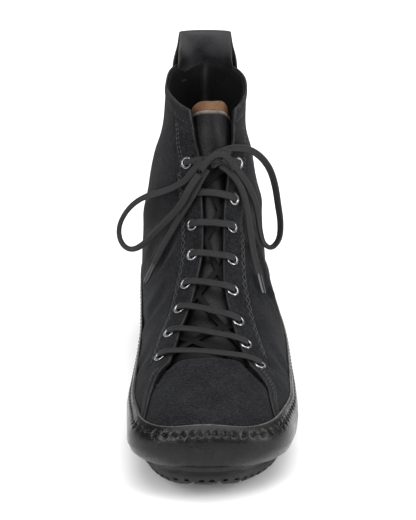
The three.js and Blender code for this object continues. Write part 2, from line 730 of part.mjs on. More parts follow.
// A flat strip through centres with normals.
function ribbon(stations, width) {
  const rings = stations.map(({ centre, normal }, i) => {
    const before = stations[Math.max(i - 1, 0)].centre;
    const after = stations[Math.min(i + 1, stations.length - 1)].centre;
    const across = after.clone().sub(before).cross(normal).normalize().multiplyScalar(width / 2);
    const thick = normal.clone().multiplyScalar(LACE_THICKNESS / 2);
    const corner = (a, b) => centre.clone().addScaledVector(across, a).addScaledVector(thick, b);
    return [corner(1, 1), corner(-1, 1), corner(-1, -1), corner(1, -1)];
  });
  return loft(rings);
}

// A run of lace over the last's surface from one place to another, `rise` its height at a share of the way.
function run(from, to, rise, width, steps) {
  const stations = [];
  for (let i = 0; i <= steps; i++) {
    const t = i / steps;
    const [along, around] = [lerp(from.along, to.along, t), lerp(from.around, to.around, t)];
    stations.push({ centre: offsetPoint(along, around, rise(t)), normal: lastNormal(along, around) });
  }
  return ribbon(stations, width);
}

const KNOT_PLACE = { along: 0.785, around: 0.02 };
const KNOT_LIFT = 5.4;
const KNOT_HALF = new THREE.Vector3(8.5, 3.4, 5);

function knotSolid(clearance) {
  const geometry = new THREE.SphereGeometry(1, 10, 6);
  geometry.scale(KNOT_HALF.x + clearance, KNOT_HALF.y + clearance, KNOT_HALF.z + clearance);
  return standing(geometry, KNOT_PLACE, KNOT_LIFT - QUARTER_STEP);
}

function makeCrossings() {
  const rows = EYELET_ROWS.length;
  const parts = [];
  for (let row = 1; row < rows; row++) {
    const rise = (t) => lerp(BAR_END, BAR_MIDDLE, smooth(Math.sin(Math.PI * t), 0.5, 1));
    parts.push(run(eyeletAt("medial", row), eyeletAt("lateral", row), rise, LACE_WIDTH, BAR_STEPS));
  }
  // One end of the lace climbs on the even rows, the other on the odd rows, slanting across inside.
  const slants = [["lateral", 1, "medial", 2]];
  for (let row = 1; row + 2 <= rows; row++) {
    const [a, b] = row % 2 ? ["medial", "lateral"] : ["lateral", "medial"];
    slants.push([a, row, b, row + 2]);
  }
  slants.at(-1)[3] = rows;
  slants.push([rows % 2 ? "lateral" : "medial", rows - 1, rows % 2 ? "medial" : "lateral", rows]);
  for (const [a, from, b, to] of slants) {
    parts.push(run(eyeletAt(a, from), eyeletAt(b, to), () => UNDER_LEVEL, UNDER_WIDTH, UNDER_STEPS));
  }
  for (const side of ["medial", "lateral"]) {
    const top = eyeletAt(side, rows);
    const rise = (t) => lerp(BAR_END, KNOT_LIFT, smooth(t, 0, 1));
    parts.push(run(top, KNOT_PLACE, rise, LACE_WIDTH, UNDER_STEPS));
  }
  const height = BAR_END - UNDER_LEVEL;
  for (const eyelet of eyelets) {
    const pillar = new THREE.CylinderGeometry(PILLAR_RADIUS, PILLAR_RADIUS, height, PILLAR_SIDES);
    parts.push(standing(pillar, eyelet, UNDER_LEVEL + height / 2 - QUARTER_STEP));
  }
  return parts.reduce((lace, part) => lace.add(part)).subtract(knotSolid(GAP));
}

// The bow's loops and ends, each from the knot: they hang down over the quarters.
const CORD_ROUTES = {
  lace_loop_medial: [
    [-1, 175.8, 150], [-6.6, 175.8, 143.6], [-12.3, 176.8, 135.8], [-20.2, 180.7, 129.1],
    [-28.8, 188.5, 122.6], [-37.4, 197, 116.4], [-45.3, 202.5, 109.3], [-51.5, 204.5, 101.3],
    [-55.2, 203, 93.4], [-55.2, 199, 86.7], [-51.9, 195, 82.2], [-46.3, 190.5, 82.2],
    [-39.2, 184.5, 88.6], [-31.1, 176.5, 100.4], [-21.9, 170, 113.2], [-14.9, 167, 123.6],
    [-9.8, 167.9, 133.6], [-3.8, 170.8, 142],
  ],
  lace_end_medial: [
    [1.4, 173.8, 144.5], [-2.9, 172, 137.3], [-8, 168.7, 128], [-14.6, 168.2, 116.4],
    [-21.4, 168.2, 103.7], [-27.6, 167.9, 91.9], [-32.6, 167.5, 81.1],
  ],
  lace_loop_lateral: [
    [6.9, 176.7, 152.6], [12, 180, 154.8], [18.8, 184.4, 154.7], [25.9, 189.6, 152],
    [32.2, 194, 147.4], [37.7, 198, 140.6], [42, 200.5, 132.3], [45, 201.2, 121.8],
    [47, 200.2, 109.4], [48.6, 197, 97.4], [47.6, 193, 88.4], [43, 189, 84.2],
    [38, 186, 88.2], [35.4, 184.6, 97.6], [34, 184.8, 107.4], [32.2, 184.8, 116.6],
    [28.8, 182.6, 126.6], [24, 179.8, 136.6], [18, 177.2, 145.8], [11.2, 175.4, 151.4],
  ],
  lace_end_lateral: [
    [9.9, 176.4, 146.2], [14.6, 176, 142.6], [20.3, 176.5, 135.4], [24.4, 176.2, 126.2],
    [27.3, 173.5, 114.2], [29.1, 165.6, 102.8], [31, 155.3, 93.5], [34, 144.6, 84.5],
  ],
};

const cordCurve = (name) => new THREE.CatmullRomCurve3(CORD_ROUTES[name].map((p) => new THREE.Vector3(...p)));

function tube(curve, radius, steps) {
  const circle = new THREE.Shape(
    Array.from({ length: CORD_SIDES }, (_, i) => {
      const turn = (2 * Math.PI * i) / CORD_SIDES;
      return new THREE.Vector2(radius * Math.cos(turn), radius * Math.sin(turn));
    }),
  );
  return solidOf(new THREE.ExtrudeGeometry(circle, { steps, bevelEnabled: false, extrudePath: curve }));
}

function makeCord(name) {
  const curve = cordCurve(name);
  const steps = Math.round(curve.getLength() / CORD_STEP);
  return tube(curve, CORD_RADIUS, steps).subtract(knotSolid(GAP));
}

// The stiff tip on a lace end, straight on from the cord.
function makeAglet(name) {
  const curve = cordCurve(name);
  const start = curve.getPoint(1).addScaledVector(curve.getTangent(1), GAP);
  const end = start.clone().addScaledVector(curve.getTangent(1), AGLET_LENGTH);
  return tube(new THREE.LineCurve3(start, end), AGLET_RADIUS, 1);
}

// The assembly

const shoe = new THREE.Group();

const MATERIALS = {
  cloth: { color: 0x2d2e30, roughness: 0.95, metalness: 0 },
  leather: { color: 0x1c1c1e, roughness: 0.35, metalness: 0 },
  lining: { color: 0x8c6446, roughness: 0.8, metalness: 0 },
  tongue: { color: 0x222024, roughness: 0.6, metalness: 0 },
  rubber: { color: 0x18181a, roughness: 0.6, metalness: 0 },
  metal: { color: 0x9a9a9c, roughness: 0.3, metalness: 1 },
  lace: { color: 0x1b1b1c, roughness: 0.7, metalness: 0 },
};

function addPiece(name, geometry, material) {
  const mesh = new THREE.Mesh(geometry, new THREE.MeshStandardMaterial(MATERIALS[material]));
  mesh.name = name;
  shoe.add(mesh);
}

addPiece("upper", geometryFrom(makeUpper()), "cloth");
addPiece("rand", geometryFrom(makeRand()), "leather");
addPiece("tongue", geometryFrom(makeTongue()), "tongue");
addPiece("insole", geometryFrom(makeInsole()), "lining");
addPiece("outsole", geometryFrom(makeOutsole()), "rubber");
for (const eyelet of eyelets) addPiece(eyelet.name, placed(eyeletGeometry(), eyelet, 0), "metal");
addPiece("pull_loop", geometryFrom(makePullLoop()), "leather");
addPiece("lace_crossings", geometryFrom(makeCrossings()), "lace");

// The origin is the middle of the shoe's box on the floor, without the bow.
const box = new THREE.Box3().setFromObject(shoe);
const centre = box.getCenter(new THREE.Vector3());
shoe.position.set(-centre.x, -centre.y, -box.min.z);

addPiece("lace_knot", geometryFrom(knotSolid(0)), "lace");
for (const name of Object.keys(CORD_ROUTES)) addPiece(name, geometryFrom(makeCord(name)), "lace");
addPiece("aglet_medial", geometryFrom(makeAglet("lace_end_medial")), "lace");
addPiece("aglet_lateral", geometryFrom(makeAglet("lace_end_lateral")), "lace");

export default shoe;
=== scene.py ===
# %% [markdown]
# # A high top shoe, dressed from its CAD model
# The imported CAD model is the frame: it fixes the size, the place of every part and what collides.
# Each soft or fine part is made again here with its cloth, leather, seams and creases, in the same place.
# We load the frame first.

# %% Load the frame
import math

import bpy
import bmesh
import numpy as np
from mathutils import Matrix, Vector
from mathutils.bvhtree import BVHTree


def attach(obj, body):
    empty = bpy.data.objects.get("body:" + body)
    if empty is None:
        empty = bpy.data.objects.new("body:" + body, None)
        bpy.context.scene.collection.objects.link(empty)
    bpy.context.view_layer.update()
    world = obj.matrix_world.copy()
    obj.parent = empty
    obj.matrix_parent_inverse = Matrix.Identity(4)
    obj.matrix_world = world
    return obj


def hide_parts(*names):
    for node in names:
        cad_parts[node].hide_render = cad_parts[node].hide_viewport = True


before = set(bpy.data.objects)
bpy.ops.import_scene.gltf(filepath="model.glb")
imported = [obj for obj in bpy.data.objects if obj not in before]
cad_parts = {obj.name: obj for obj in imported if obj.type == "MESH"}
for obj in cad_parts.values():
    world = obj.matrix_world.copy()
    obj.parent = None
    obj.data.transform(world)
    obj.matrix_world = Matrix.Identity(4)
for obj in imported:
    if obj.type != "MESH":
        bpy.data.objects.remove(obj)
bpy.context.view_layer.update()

print(len(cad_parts), "nodes to dress")

# %% [markdown]
# ## The shoe last
# A shoemaker stretches the upper over a last, a solid form of the foot. Every piece here follows one surface,
# last(along, around): `along` runs from the toe tip to above the collar through sections that fan round the
# instep, and `around` runs round each section, 0 on the ridge and -1 or 1 under the foot and behind the heel.
# The last has its own axes in millimetres: y from the toe to the heel, z up from the floor.
# SHIFT moves them to the middle of the CAD box.

# %% The last's sizes and sections
MM = 0.001
SHIFT = np.array([-4.7382, -140.1777, 0.0])
LENGTH, BALL_WIDTH = 284.0, 98.0
INSTEP_HEIGHT, SHAFT_HEIGHT = 91.0, 72.0
FOREFOOT, HEEL, SPRING, ARCH = 13.0, 18.0, 14.0, 2.5
SPRING_END, FLAT_END, HEEL_START = 0.24, 0.44, 0.74

SECTION_COLUMNS = (
    "sole_y", "sole_level", "ridge_y", "ridge_level", "medial", "lateral", "widest", "low", "high", "ridge",
)
SECTIONS = np.array([
    [0.0, 0.1, 0.0, 0.1, 0.0, 0.0, 0.5, 2.0, 2.0, 0.0],
    [0.006, -0.033, 0.008, 0.208, 0.19, 0.2, 0.45, 1.7, 2.4, 0.0],
    [0.022, -0.033, 0.03, 0.294, 0.325, 0.345, 0.42, 1.7, 2.4, 0.0],
    [0.06, -0.033, 0.075, 0.372, 0.4, 0.44, 0.4, 1.9, 2.4, 0.0],
    [0.125, -0.033, 0.14, 0.446, 0.43, 0.5, 0.38, 2.6, 2.3, 0.005],
    [0.21, -0.033, 0.225, 0.505, 0.458, 0.553, 0.36, 3.4, 2.2, 0.01],
    [0.32, -0.033, 0.29, 0.55, 0.46, 0.556, 0.34, 4.0, 2.0, 0.02],
    [0.45, -0.033, 0.385, 0.67, 0.428, 0.535, 0.33, 3.8, 1.85, 0.035],
    [0.6, -0.033, 0.47, 0.832, 0.402, 0.505, 0.33, 3.6, 1.8, 0.045],
    [0.79, -0.033, 0.54, 1.005, 0.408, 0.438, 0.35, 3.4, 1.85, 0.05],
    [0.952, -0.033, 0.59, 1.214, 0.418, 0.39, 0.42, 3.0, 1.9, 0.05],
    [0.984, 0.15, 0.622, 1.412, 0.408, 0.376, 0.5, 2.5, 2.0, 0.05],
    [0.992, 0.527, 0.645, 1.586, 0.383, 0.35, 0.5, 2.3, 2.0, 0.05],
    [0.978, 0.901, 0.66, 1.735, 0.33, 0.308, 0.5, 2.2, 2.0, 0.045],
    [0.968, 1.403, 0.672, 1.871, 0.272, 0.262, 0.52, 2.3, 1.9, 0.04],
    [0.965, 2.153, 0.685, 2.132, 0.248, 0.28, 0.55, 2.4, 1.8, 0.03],
])
print(len(SECTIONS), "sections over", LENGTH, "mm")

# %% [markdown]
# A few small functions of numbers come first: a soft step, a mix, a unit vector and a search by halving. The
# sole rises at the toe, which is called toe spring, and has a shallow arch. The footbed above it rises
# towards the heel.

# %% Small functions and the footbed
HALVINGS = 26
FLAT_LEAD = 0.02  # how far before the flat's end the footbed starts to rise, as a share of the length


def smooth(x, low, high):
    t = np.clip((x - low) / (high - low), 0, 1)
    return t * t * (3 - 2 * t)


def mix(a, b, t):
    return a + (b - a) * t


def unit(v):
    return v / (np.linalg.norm(v, axis=-1, keepdims=True) + 1e-12)


def bell(x, width):
    return np.exp(-((x / width) ** 2))


def toe_spring(y):
    return SPRING * np.maximum(0, (SPRING_END - y / LENGTH) / SPRING_END) ** 2


def footbed(y):
    rise = smooth(y / LENGTH, FLAT_END - FLAT_LEAD, HEEL_START)
    return toe_spring(y) + mix(FOREFOOT, HEEL, rise)


def sole_bottom(y):
    middle = np.clip((y / LENGTH - FLAT_END) / (HEEL_START - FLAT_END), 0, 1)
    return toe_spring(y) + ARCH * np.sin(np.pi * middle) ** 2


def level_height(level):
    return np.where(level < 1, level * INSTEP_HEIGHT, INSTEP_HEIGHT + (level - 1) * SHAFT_HEIGHT)


def solve(low, high, above):
    """The value between low and high, by halving, where above(value) turns from true to false."""
    for _ in range(HALVINGS):
        middle = (low + high) / 2
        over = above(middle)
        low, high = np.where(over, middle, low), np.where(over, high, middle)
    return (low + high) / 2


print("footbed", FOREFOOT, "mm at the ball and", HEEL, "mm at the heel")

# %% [markdown]
# Each section is a closed curve whose low and high halves have their own roundness, a power of sine and
# cosine. Between two sections every column is interpolated with a smooth cubic, so the last has no ridges
# across it.

# %% The last's surface
RIDGE_LEAN = 1.5


def section_at(along):
    count = len(SECTIONS) - 1
    x = np.clip(along, 0, 1) * count
    i = np.minimum(x.astype(int), count - 1)
    t = (x - i)[..., None]
    a, b = SECTIONS[np.maximum(i - 1, 0)], SECTIONS[i]
    c, d = SECTIONS[i + 1], SECTIONS[np.minimum(i + 2, count)]
    row = b + 0.5 * t * (c - a + t * (2 * a - 5 * b + 4 * c - d + t * (3 * (b - c) + d - a)))
    return {name: row[..., k] for k, name in enumerate(SECTION_COLUMNS)}


def last(along, around):
    along, around = np.broadcast_arrays(np.asarray(along, float), np.asarray(around, float))
    s = section_at(along)
    up, side = np.cos(around * np.pi), np.sin(around * np.pi)
    power = 2 / np.where(up > 0, s["high"], s["low"])
    rise = np.sign(up) * np.abs(up) ** power
    height = np.where(rise > 0, mix(s["widest"], 1, rise), s["widest"] * (1 + rise))
    half = np.where(side < 0, s["medial"], s["lateral"]) * BALL_WIDTH
    lean = s["ridge"] * BALL_WIDTH * np.clip(rise, 0, 1) ** RIDGE_LEAN
    x = np.sign(side) * half * np.abs(side) ** power + lean
    y = mix(s["sole_y"], s["ridge_y"], height) * LENGTH
    sole_z = footbed(s["sole_y"] * LENGTH) + level_height(s["sole_level"])
    ridge_z = footbed(s["ridge_y"] * LENGTH) + level_height(s["ridge_level"])
    return np.stack([x, y, mix(sole_z, ridge_z, height)], -1)


def last_normal(along, around, step=0.004):
    along, around = np.broadcast_arrays(np.asarray(along, float), np.asarray(around, float))
    along = np.clip(along, step, 1 - step)
    wrap = lambda v: np.where(v > 1, v - 2, np.where(v < -1, v + 2, v))
    forward = last(along + step, around) - last(along - step, around)
    round_ = last(along, wrap(around + step)) - last(along, wrap(around - step))
    return unit(np.cross(round_, forward))


def on_last(along, around, offset=0.0):
    return last(along, around) + last_normal(along, around) * np.asarray(offset, float)[..., None]


coarse_last = last(np.linspace(0, 1, 60)[:, None], np.linspace(-1, 1, 90))
print("The last is", np.round(np.ptp(coarse_last, axis=(0, 1)), 1), "mm")

# %% [markdown]
# ## The camera
# The photograph looks down at the toes from 24 degrees above the floor, from about 1.7 m away. The camera
# keeps that angle, is aimed at the middle of this one shoe and has a longer lens, so the shoe fills the
# frame. The Standard view transform keeps the paper white and the black cloth dark, as in a catalogue
# picture.

# %% Camera
VIEW_RISE = math.radians(24.0)
VIEW_DISTANCE = 1.70
AIM = Vector((-0.0028, 0.0018, 0.0961))
away = Vector((0.0, -math.cos(VIEW_RISE), math.sin(VIEW_RISE)))
camera = bpy.data.objects.new("camera", bpy.data.cameras.new("camera"))
bpy.context.scene.collection.objects.link(camera)
camera.location = AIM + away * VIEW_DISTANCE
camera.rotation_euler = away.to_track_quat("Z", "Y").to_euler()
camera.data.lens = 188.0
camera.data.sensor_width = 36.0
bpy.context.scene.camera = camera
bpy.context.scene.view_settings.view_transform = "Standard"
print("camera at", [round(v, 3) for v in camera.location])

# %% [markdown]
# ## Mesh helpers
# A few small functions make every piece. `add_piece` turns points and faces into an object that rides on the
# shoe, `grid_faces` gives the quads of a sheet of rows and columns, and `sweep` carries a section along a
# path, which is how a lace or a thread is built.

# %% From points to a piece
MERGE_DISTANCE = 2e-6
SHARP_ANGLE = 50


def add_piece(name, points, faces, material, replaces=(), fields=None, sharp=SHARP_ANGLE):
    mesh = bpy.data.meshes.new(name)
    points = np.asarray(points, float).reshape(-1, 3)
    mesh.from_pydata(((points + SHIFT) * MM).tolist(), [], [tuple(map(int, f)) for f in faces])
    for key, values in (fields or {}).items():
        layer = mesh.attributes.new(key, "FLOAT", "POINT")
        layer.data.foreach_set("value", np.asarray(values, np.float32).ravel())
    cleaner = bmesh.new()
    cleaner.from_mesh(mesh)
    bmesh.ops.remove_doubles(cleaner, verts=cleaner.verts, dist=MERGE_DISTANCE)
    bmesh.ops.recalc_face_normals(cleaner, faces=cleaner.faces)
    cleaner.to_mesh(mesh)
    cleaner.free()
    mesh.polygons.foreach_set("use_smooth", np.ones(len(mesh.polygons), bool))
    mesh.set_sharp_from_angle(angle=math.radians(sharp))
    mesh.materials.append(material)
    piece = bpy.data.objects.new(name, mesh)
    bpy.context.scene.collection.objects.link(piece)
    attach(piece, "root")
    if replaces:
        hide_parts(*replaces)
    print(name, len(mesh.polygons), "faces")
    return piece


print("pieces meet at", MERGE_DISTANCE, "m")

# %% [markdown]
# A panel of leather or cloth has two faces and a rim. `thick_sheet` joins two grids of points, outer and
# inner, with one more loop between them, so that the cut edge is rounded and not a knife's edge.

# %% Sheets
def grid_faces(rows, columns, closed=False, start=0):
    i, j = np.meshgrid(np.arange(rows - 1), np.arange(columns if closed else columns - 1), indexing="ij")
    k = (j + 1) % columns
    quads = np.stack([i * columns + j, i * columns + k, (i + 1) * columns + k, (i + 1) * columns + j], -1)
    return (quads.reshape(-1, 4) + start).tolist()


def add_rings(name, rings, material, replaces, wear=None, sharp=SHARP_ANGLE):
    """A piece of closed rings of points, one after the other."""
    fields = {"wear": np.zeros(rings.shape[:2]) if wear is None else wear}
    faces = grid_faces(*rings.shape[:2], closed=True)
    return add_piece(name, rings, faces, material, replaces, fields, sharp)


def thick_sheet(outer, inner, rounding=0.35):
    """Points and faces of a sheet between two grids, with a rounded rim of one more loop."""
    rows, columns = outer.shape[:2]
    border = [(0, j) for j in range(columns)] + [(i, columns - 1) for i in range(1, rows)]
    border += [(rows - 1, j) for j in range(columns - 2, -1, -1)] + [(i, 0) for i in range(rows - 2, 0, -1)]
    border = np.array(border)
    a, b = outer[border[:, 0], border[:, 1]], inner[border[:, 0], border[:, 1]]
    run = unit(np.roll(a, -1, 0) - np.roll(a, 1, 0))
    out = unit(np.cross(run, b - a))
    centre = outer.reshape(-1, 3)[[columns * (rows // 2) + columns // 2]]
    out *= np.sign(((a - centre) * out).sum(-1).mean()) or 1
    rim = (a + b) / 2 + out * rounding * np.linalg.norm(a - b, axis=-1, keepdims=True)
    points = np.concatenate([outer.reshape(-1, 3), inner.reshape(-1, 3), rim])
    count, size = len(border), rows * columns
    first = border[:, 0] * columns + border[:, 1]
    faces = grid_faces(rows, columns) + grid_faces(rows, columns, start=size)
    for i in range(count):
        j = (i + 1) % count
        faces.append((first[i], first[j], 2 * size + j, 2 * size + i))
        faces.append((2 * size + i, 2 * size + j, size + first[j], size + first[i]))
    return points, faces


print("a sheet of 3 by 3 points has", len(grid_faces(3, 3)), "quads a side")

# %% [markdown]
# Laces, straps and threads are sections swept along a path. The path is a smooth curve through a few points,
# divided evenly. The width's direction is given at each point, so a flat lace can twist as a real one does.

# %% Paths and sweeps
CURVE_DETAIL = 40


def walk(path):
    """How far each point is along a path."""
    return np.concatenate([[0], np.cumsum(np.linalg.norm(np.diff(path, axis=0), axis=1))])


def circle(sides):
    turn = np.linspace(0, 2 * np.pi, sides, endpoint=False)
    return np.stack([np.cos(turn), np.sin(turn)], -1)


def curve_through(points, steps):
    """Evenly spaced points on a smooth curve through a few points."""
    p = np.asarray(points, float)
    p = np.concatenate([[2 * p[0] - p[1]], p, [2 * p[-1] - p[-2]]])
    t = np.linspace(0, len(p) - 3 - 1e-9, CURVE_DETAIL * len(p))
    i = t.astype(int)
    f = (t - i)[:, None]
    a, b, c, d = p[i], p[i + 1], p[i + 2], p[i + 3]
    dense = b + 0.5 * f * (c - a + f * (2 * a - 5 * b + 4 * c - d + f * (3 * (b - c) + d - a)))
    walked = walk(dense)
    even = np.linspace(0, walked[-1], steps)
    return np.stack([np.interp(even, walked, dense[:, k]) for k in range(p.shape[1])], -1)


def path_length(path):
    return float(np.linalg.norm(np.diff(path, axis=0), axis=1).sum())


def sweep(path, width_axis, section, scale=None):
    """Points, faces and the fields run (length) and across (sideways), of a section carried along a path."""
    tangent = unit(np.gradient(path, axis=0))
    width = width_axis - (width_axis * tangent).sum(-1, keepdims=True) * tangent
    width = unit(width)
    lift = np.cross(tangent, width)
    size = np.ones(len(path)) if scale is None else np.asarray(scale)
    rings = path[:, None] + width[:, None] * (section[None, :, :1] * size[:, None, None])
    rings = rings + lift[:, None] * section[None, :, 1:]
    count = len(section)
    faces = grid_faces(len(path), count, closed=True)
    faces += [tuple(range(count)), tuple(range((len(path) - 1) * count, len(path) * count))]
    fields = {"run": np.repeat(walk(path), count), "across": np.tile(section[:, 0], len(path))}
    return rings.reshape(-1, 3), faces, fields


def join(parts):
    """One set of points, faces and fields from several."""
    points, faces, fields, start = [], [], {}, 0
    for part in parts:
        points.append(part[0])
        faces += [tuple(k + start for k in f) for f in part[1]]
        start += len(part[0])
        for key, values in part[2].items():
            fields.setdefault(key, []).append(np.asarray(values))
    return np.concatenate(points), faces, {key: np.concatenate(v) for key, v in fields.items()}


print("a curve is first cut in", CURVE_DETAIL, "steps a point")

# %% [markdown]
# ## Shared effects for the materials
# Cloth, leather, rubber and lace all need small surface detail: threads, grain, dust, pale worn edges. Each
# effect is a node group made once. A group gives only masks and heights; the shader stays in the material.

# %% Shader group helpers
def new_group(name, inputs, outputs):
    tree = bpy.data.node_groups.new(name, "ShaderNodeTree")
    for label, value in inputs.items():
        tree.interface.new_socket(label, in_out="INPUT", socket_type="NodeSocketFloat").default_value = value
    for label in outputs:
        tree.interface.new_socket(label, in_out="OUTPUT", socket_type="NodeSocketFloat")
    return tree, tree.nodes.new("NodeGroupInput"), tree.nodes.new("NodeGroupOutput")


def node(tree, kind, links=None, **settings):
    made = tree.nodes.new("ShaderNode" + kind)
    for key, value in settings.items():
        setattr(made, key, value)
    for key, value in (links or {}).items():
        socket = made.inputs[key]
        if isinstance(value, bpy.types.NodeSocket):
            tree.links.new(value, socket)
        else:
            socket.default_value = value
    return made


def math_node(tree, operation, a, b=0.0, clamp=False):
    return node(tree, "Math", {0: a, 1: b}, operation=operation, use_clamp=clamp).outputs[0]


def spread(tree, value, low, high, new_low=0.0, new_high=1.0):
    links = {"Value": value, "From Min": low, "From Max": high, "To Min": new_low, "To Max": new_high}
    return node(tree, "MapRange", links, interpolation_type="SMOOTHSTEP").outputs["Result"]


def object_place(tree):
    return node(tree, "TexCoord").outputs["Object"]


def noise(tree, place, scale, detail, roughness=0.5, distortion=0.0):
    links = {"Vector": place, "Scale": scale, "Detail": detail, "Roughness": roughness}
    return node(tree, "TexNoise", links | {"Distortion": distortion}).outputs["Fac"]


def weighted(tree, *pairs):
    """The sum of each socket times its weight."""
    total = None
    for socket, weight in pairs:
        part = math_node(tree, "MULTIPLY", socket, weight)
        total = math_node(tree, "ADD", total, part) if total else part
    return total


print("helpers for the shader groups are ready")


# %% [markdown]
# Woven or felted cloth is threads crossing each other with fuzz over them. Two wave textures that cross,
# bent a little by noise, give the threads, and a fine noise gives the fuzz. A larger scale is a finer cloth.

# %% Group: woven threads
BEND_REACH = (0.0016, 0.0016, 0.0016)


def make_threads():
    tree, given, result = new_group("Threads", {"Scale": 900.0, "Fuzz": 0.5}, ["Height", "Shade"])
    place = object_place(tree)
    bend = node(tree, "TexNoise", {"Vector": place, "Scale": 220.0, "Detail": 2.0}).outputs["Color"]
    bent = node(tree, "VectorMath", {0: bend, 1: BEND_REACH}, operation="MULTIPLY").outputs[0]
    place = node(tree, "VectorMath", {0: place, 1: bent}, operation="ADD").outputs[0]
    waves = []
    for direction in ("X", "Z"):
        links = {"Vector": place, "Scale": given.outputs["Scale"]}
        wave = node(tree, "TexWave", links, bands_direction=direction, wave_profile="SIN")
        waves.append(wave.outputs["Fac"])
    weave = math_node(tree, "MULTIPLY", waves[0], waves[1])
    fuzz = noise(tree, place, 2600.0, 3.0, 0.7)
    mixed = node(tree, "Mix", {"Factor": given.outputs["Fuzz"], "A": weave, "B": fuzz}).outputs["Result"]
    tree.links.new(mixed, result.inputs["Height"])
    # pale flecks of about a millimetre and slow clouds make the dyed cloth uneven
    fleck = spread(tree, noise(tree, place, 800.0, 2.0, 0.6), 0.3, 0.7)
    cloud = spread(tree, noise(tree, place, 60.0, 5.0, 0.6), 0.2, 0.8)
    shade = weighted(tree, (mixed, 0.3), (fleck, 0.45), (cloud, 0.22))
    tree.links.new(shade, result.inputs["Shade"])
    return tree


THREADS = make_threads()
print(THREADS.name, "has", len(THREADS.nodes), "nodes")

# %% [markdown]
# Leather has a grain of small cells, wider wrinkles where it bends, and pores. Voronoi cells stretched by
# noise give the grain. A slow noise gives the uneven gloss of a waxed surface.

# %% Group: leather grain
def make_grain():
    tree, given, result = new_group("Leather grain", {"Scale": 900.0, "Wrinkle": 0.5}, ["Height", "Gloss"])
    place = object_place(tree)
    cells = node(tree, "TexVoronoi", {"Vector": place, "Scale": given.outputs["Scale"], "Randomness": 1.0})
    fine = noise(tree, place, 1500.0, 3.0)
    broad = noise(tree, place, 120.0, 4.0, distortion=0.6)
    height = math_node(tree, "ADD", cells.outputs["Distance"], math_node(tree, "MULTIPLY", fine, 0.4))
    wrinkle = math_node(tree, "MULTIPLY", broad, given.outputs["Wrinkle"])
    tree.links.new(math_node(tree, "ADD", height, wrinkle), result.inputs["Height"])
    slow = noise(tree, place, 55.0, 6.0, 0.65)
    tree.links.new(spread(tree, slow, 0.35, 0.7), result.inputs["Gloss"])
    return tree


GRAIN = make_grain()
print(GRAIN.name, "has", len(GRAIN.nodes), "nodes")

# %% [markdown]
# Dust gathers low on a shoe and in its hollows, and a cut or rubbed edge goes pale. The meshes carry a field
# named `wear`, 1 on such an edge, so the same group can serve the band, the collar, the tongue and the sole.

# %% Group: dust and worn edges
def make_wear():
    inputs = {"Dust Height": 0.03, "Patch Scale": 140.0}
    tree, given, result = new_group("Dust and wear", inputs, ["Dust", "Wear"])
    place = object_place(tree)
    height = node(tree, "SeparateXYZ", {0: place}).outputs["Z"]
    low = math_node(tree, "DIVIDE", height, given.outputs["Dust Height"])
    patch = noise(tree, place, given.outputs["Patch Scale"], 6.0, 0.7)
    speck = spread(tree, patch, 0.5, 0.72)
    dust = math_node(tree, "MULTIPLY", speck, spread(tree, low, 0.2, 1.6, 1.0, 0.15))
    tree.links.new(dust, result.inputs["Dust"])
    field = node(tree, "Attribute", attribute_name="wear").outputs["Fac"]
    broken = spread(tree, patch, 0.3, 0.6, 0.35, 1.0)
    tree.links.new(math_node(tree, "MULTIPLY", field, broken, clamp=True), result.inputs["Wear"])
    return tree


WEAR = make_wear()
print(WEAR.name, "has", len(WEAR.nodes), "nodes")

# %% [markdown]
# A flat lace is a narrow plait. Its threads slant from the middle to both edges, so the pattern needs the
# lace's own length and width, which `sweep` stored in the fields run and across, in millimetres.

# %% Group: plaited lace
def make_plait():
    tree, given, result = new_group("Plait", {"Pitch": 1.1, "Slant": 0.8}, ["Height"])
    run = node(tree, "Attribute", attribute_name="run").outputs["Fac"]
    across = node(tree, "Attribute", attribute_name="across").outputs["Fac"]
    slant = math_node(tree, "MULTIPLY", math_node(tree, "ABSOLUTE", across), given.outputs["Slant"])
    turn = math_node(tree, "DIVIDE", math_node(tree, "ADD", run, slant), given.outputs["Pitch"])
    wave = math_node(tree, "SINE", math_node(tree, "MULTIPLY", turn, 2 * math.pi))
    side = math_node(tree, "SINE", math_node(tree, "MULTIPLY", across, 6.0))
    height = weighted(tree, (wave, 0.35), (side, 0.15))
    tree.links.new(math_node(tree, "ADD", height, 0.5), result.inputs["Height"])
    return tree


PLAIT = make_plait()
print("shader groups:", [g.name for g in bpy.data.node_groups])

# %% [markdown]
# ## The materials
# Each material starts from one function that makes a Principled shader with a base colour between two tones,
# a bump height and dust and wear on top. The values differ: charcoal cloth is matt with a little sheen, the
# leather band is waxed and glossy, rubber is duller, and the eyelets are bright metal.

# %% Material maker
def use_group(tree, group, **values):
    made = tree.nodes.new("ShaderNodeGroup")
    made.node_tree = group
    for key, value in values.items():
        made.inputs[key.replace("_", " ")].default_value = value
    return made


def over(tree, factor, below, above):
    """A colour laid over another by a mask; each is a socket or three plain numbers."""
    made = tree.nodes.new("ShaderNodeMix")
    made.data_type = "RGBA"
    tree.links.new(factor, made.inputs["Factor"])
    sockets = [socket for socket in made.inputs if socket.type == "RGBA"]
    for socket, colour in zip(sockets, (below, above)):
        if isinstance(colour, bpy.types.NodeSocket):
            tree.links.new(colour, socket)
        else:
            socket.default_value = (*colour, 1.0)
    return next(socket for socket in made.outputs if socket.type == "RGBA")


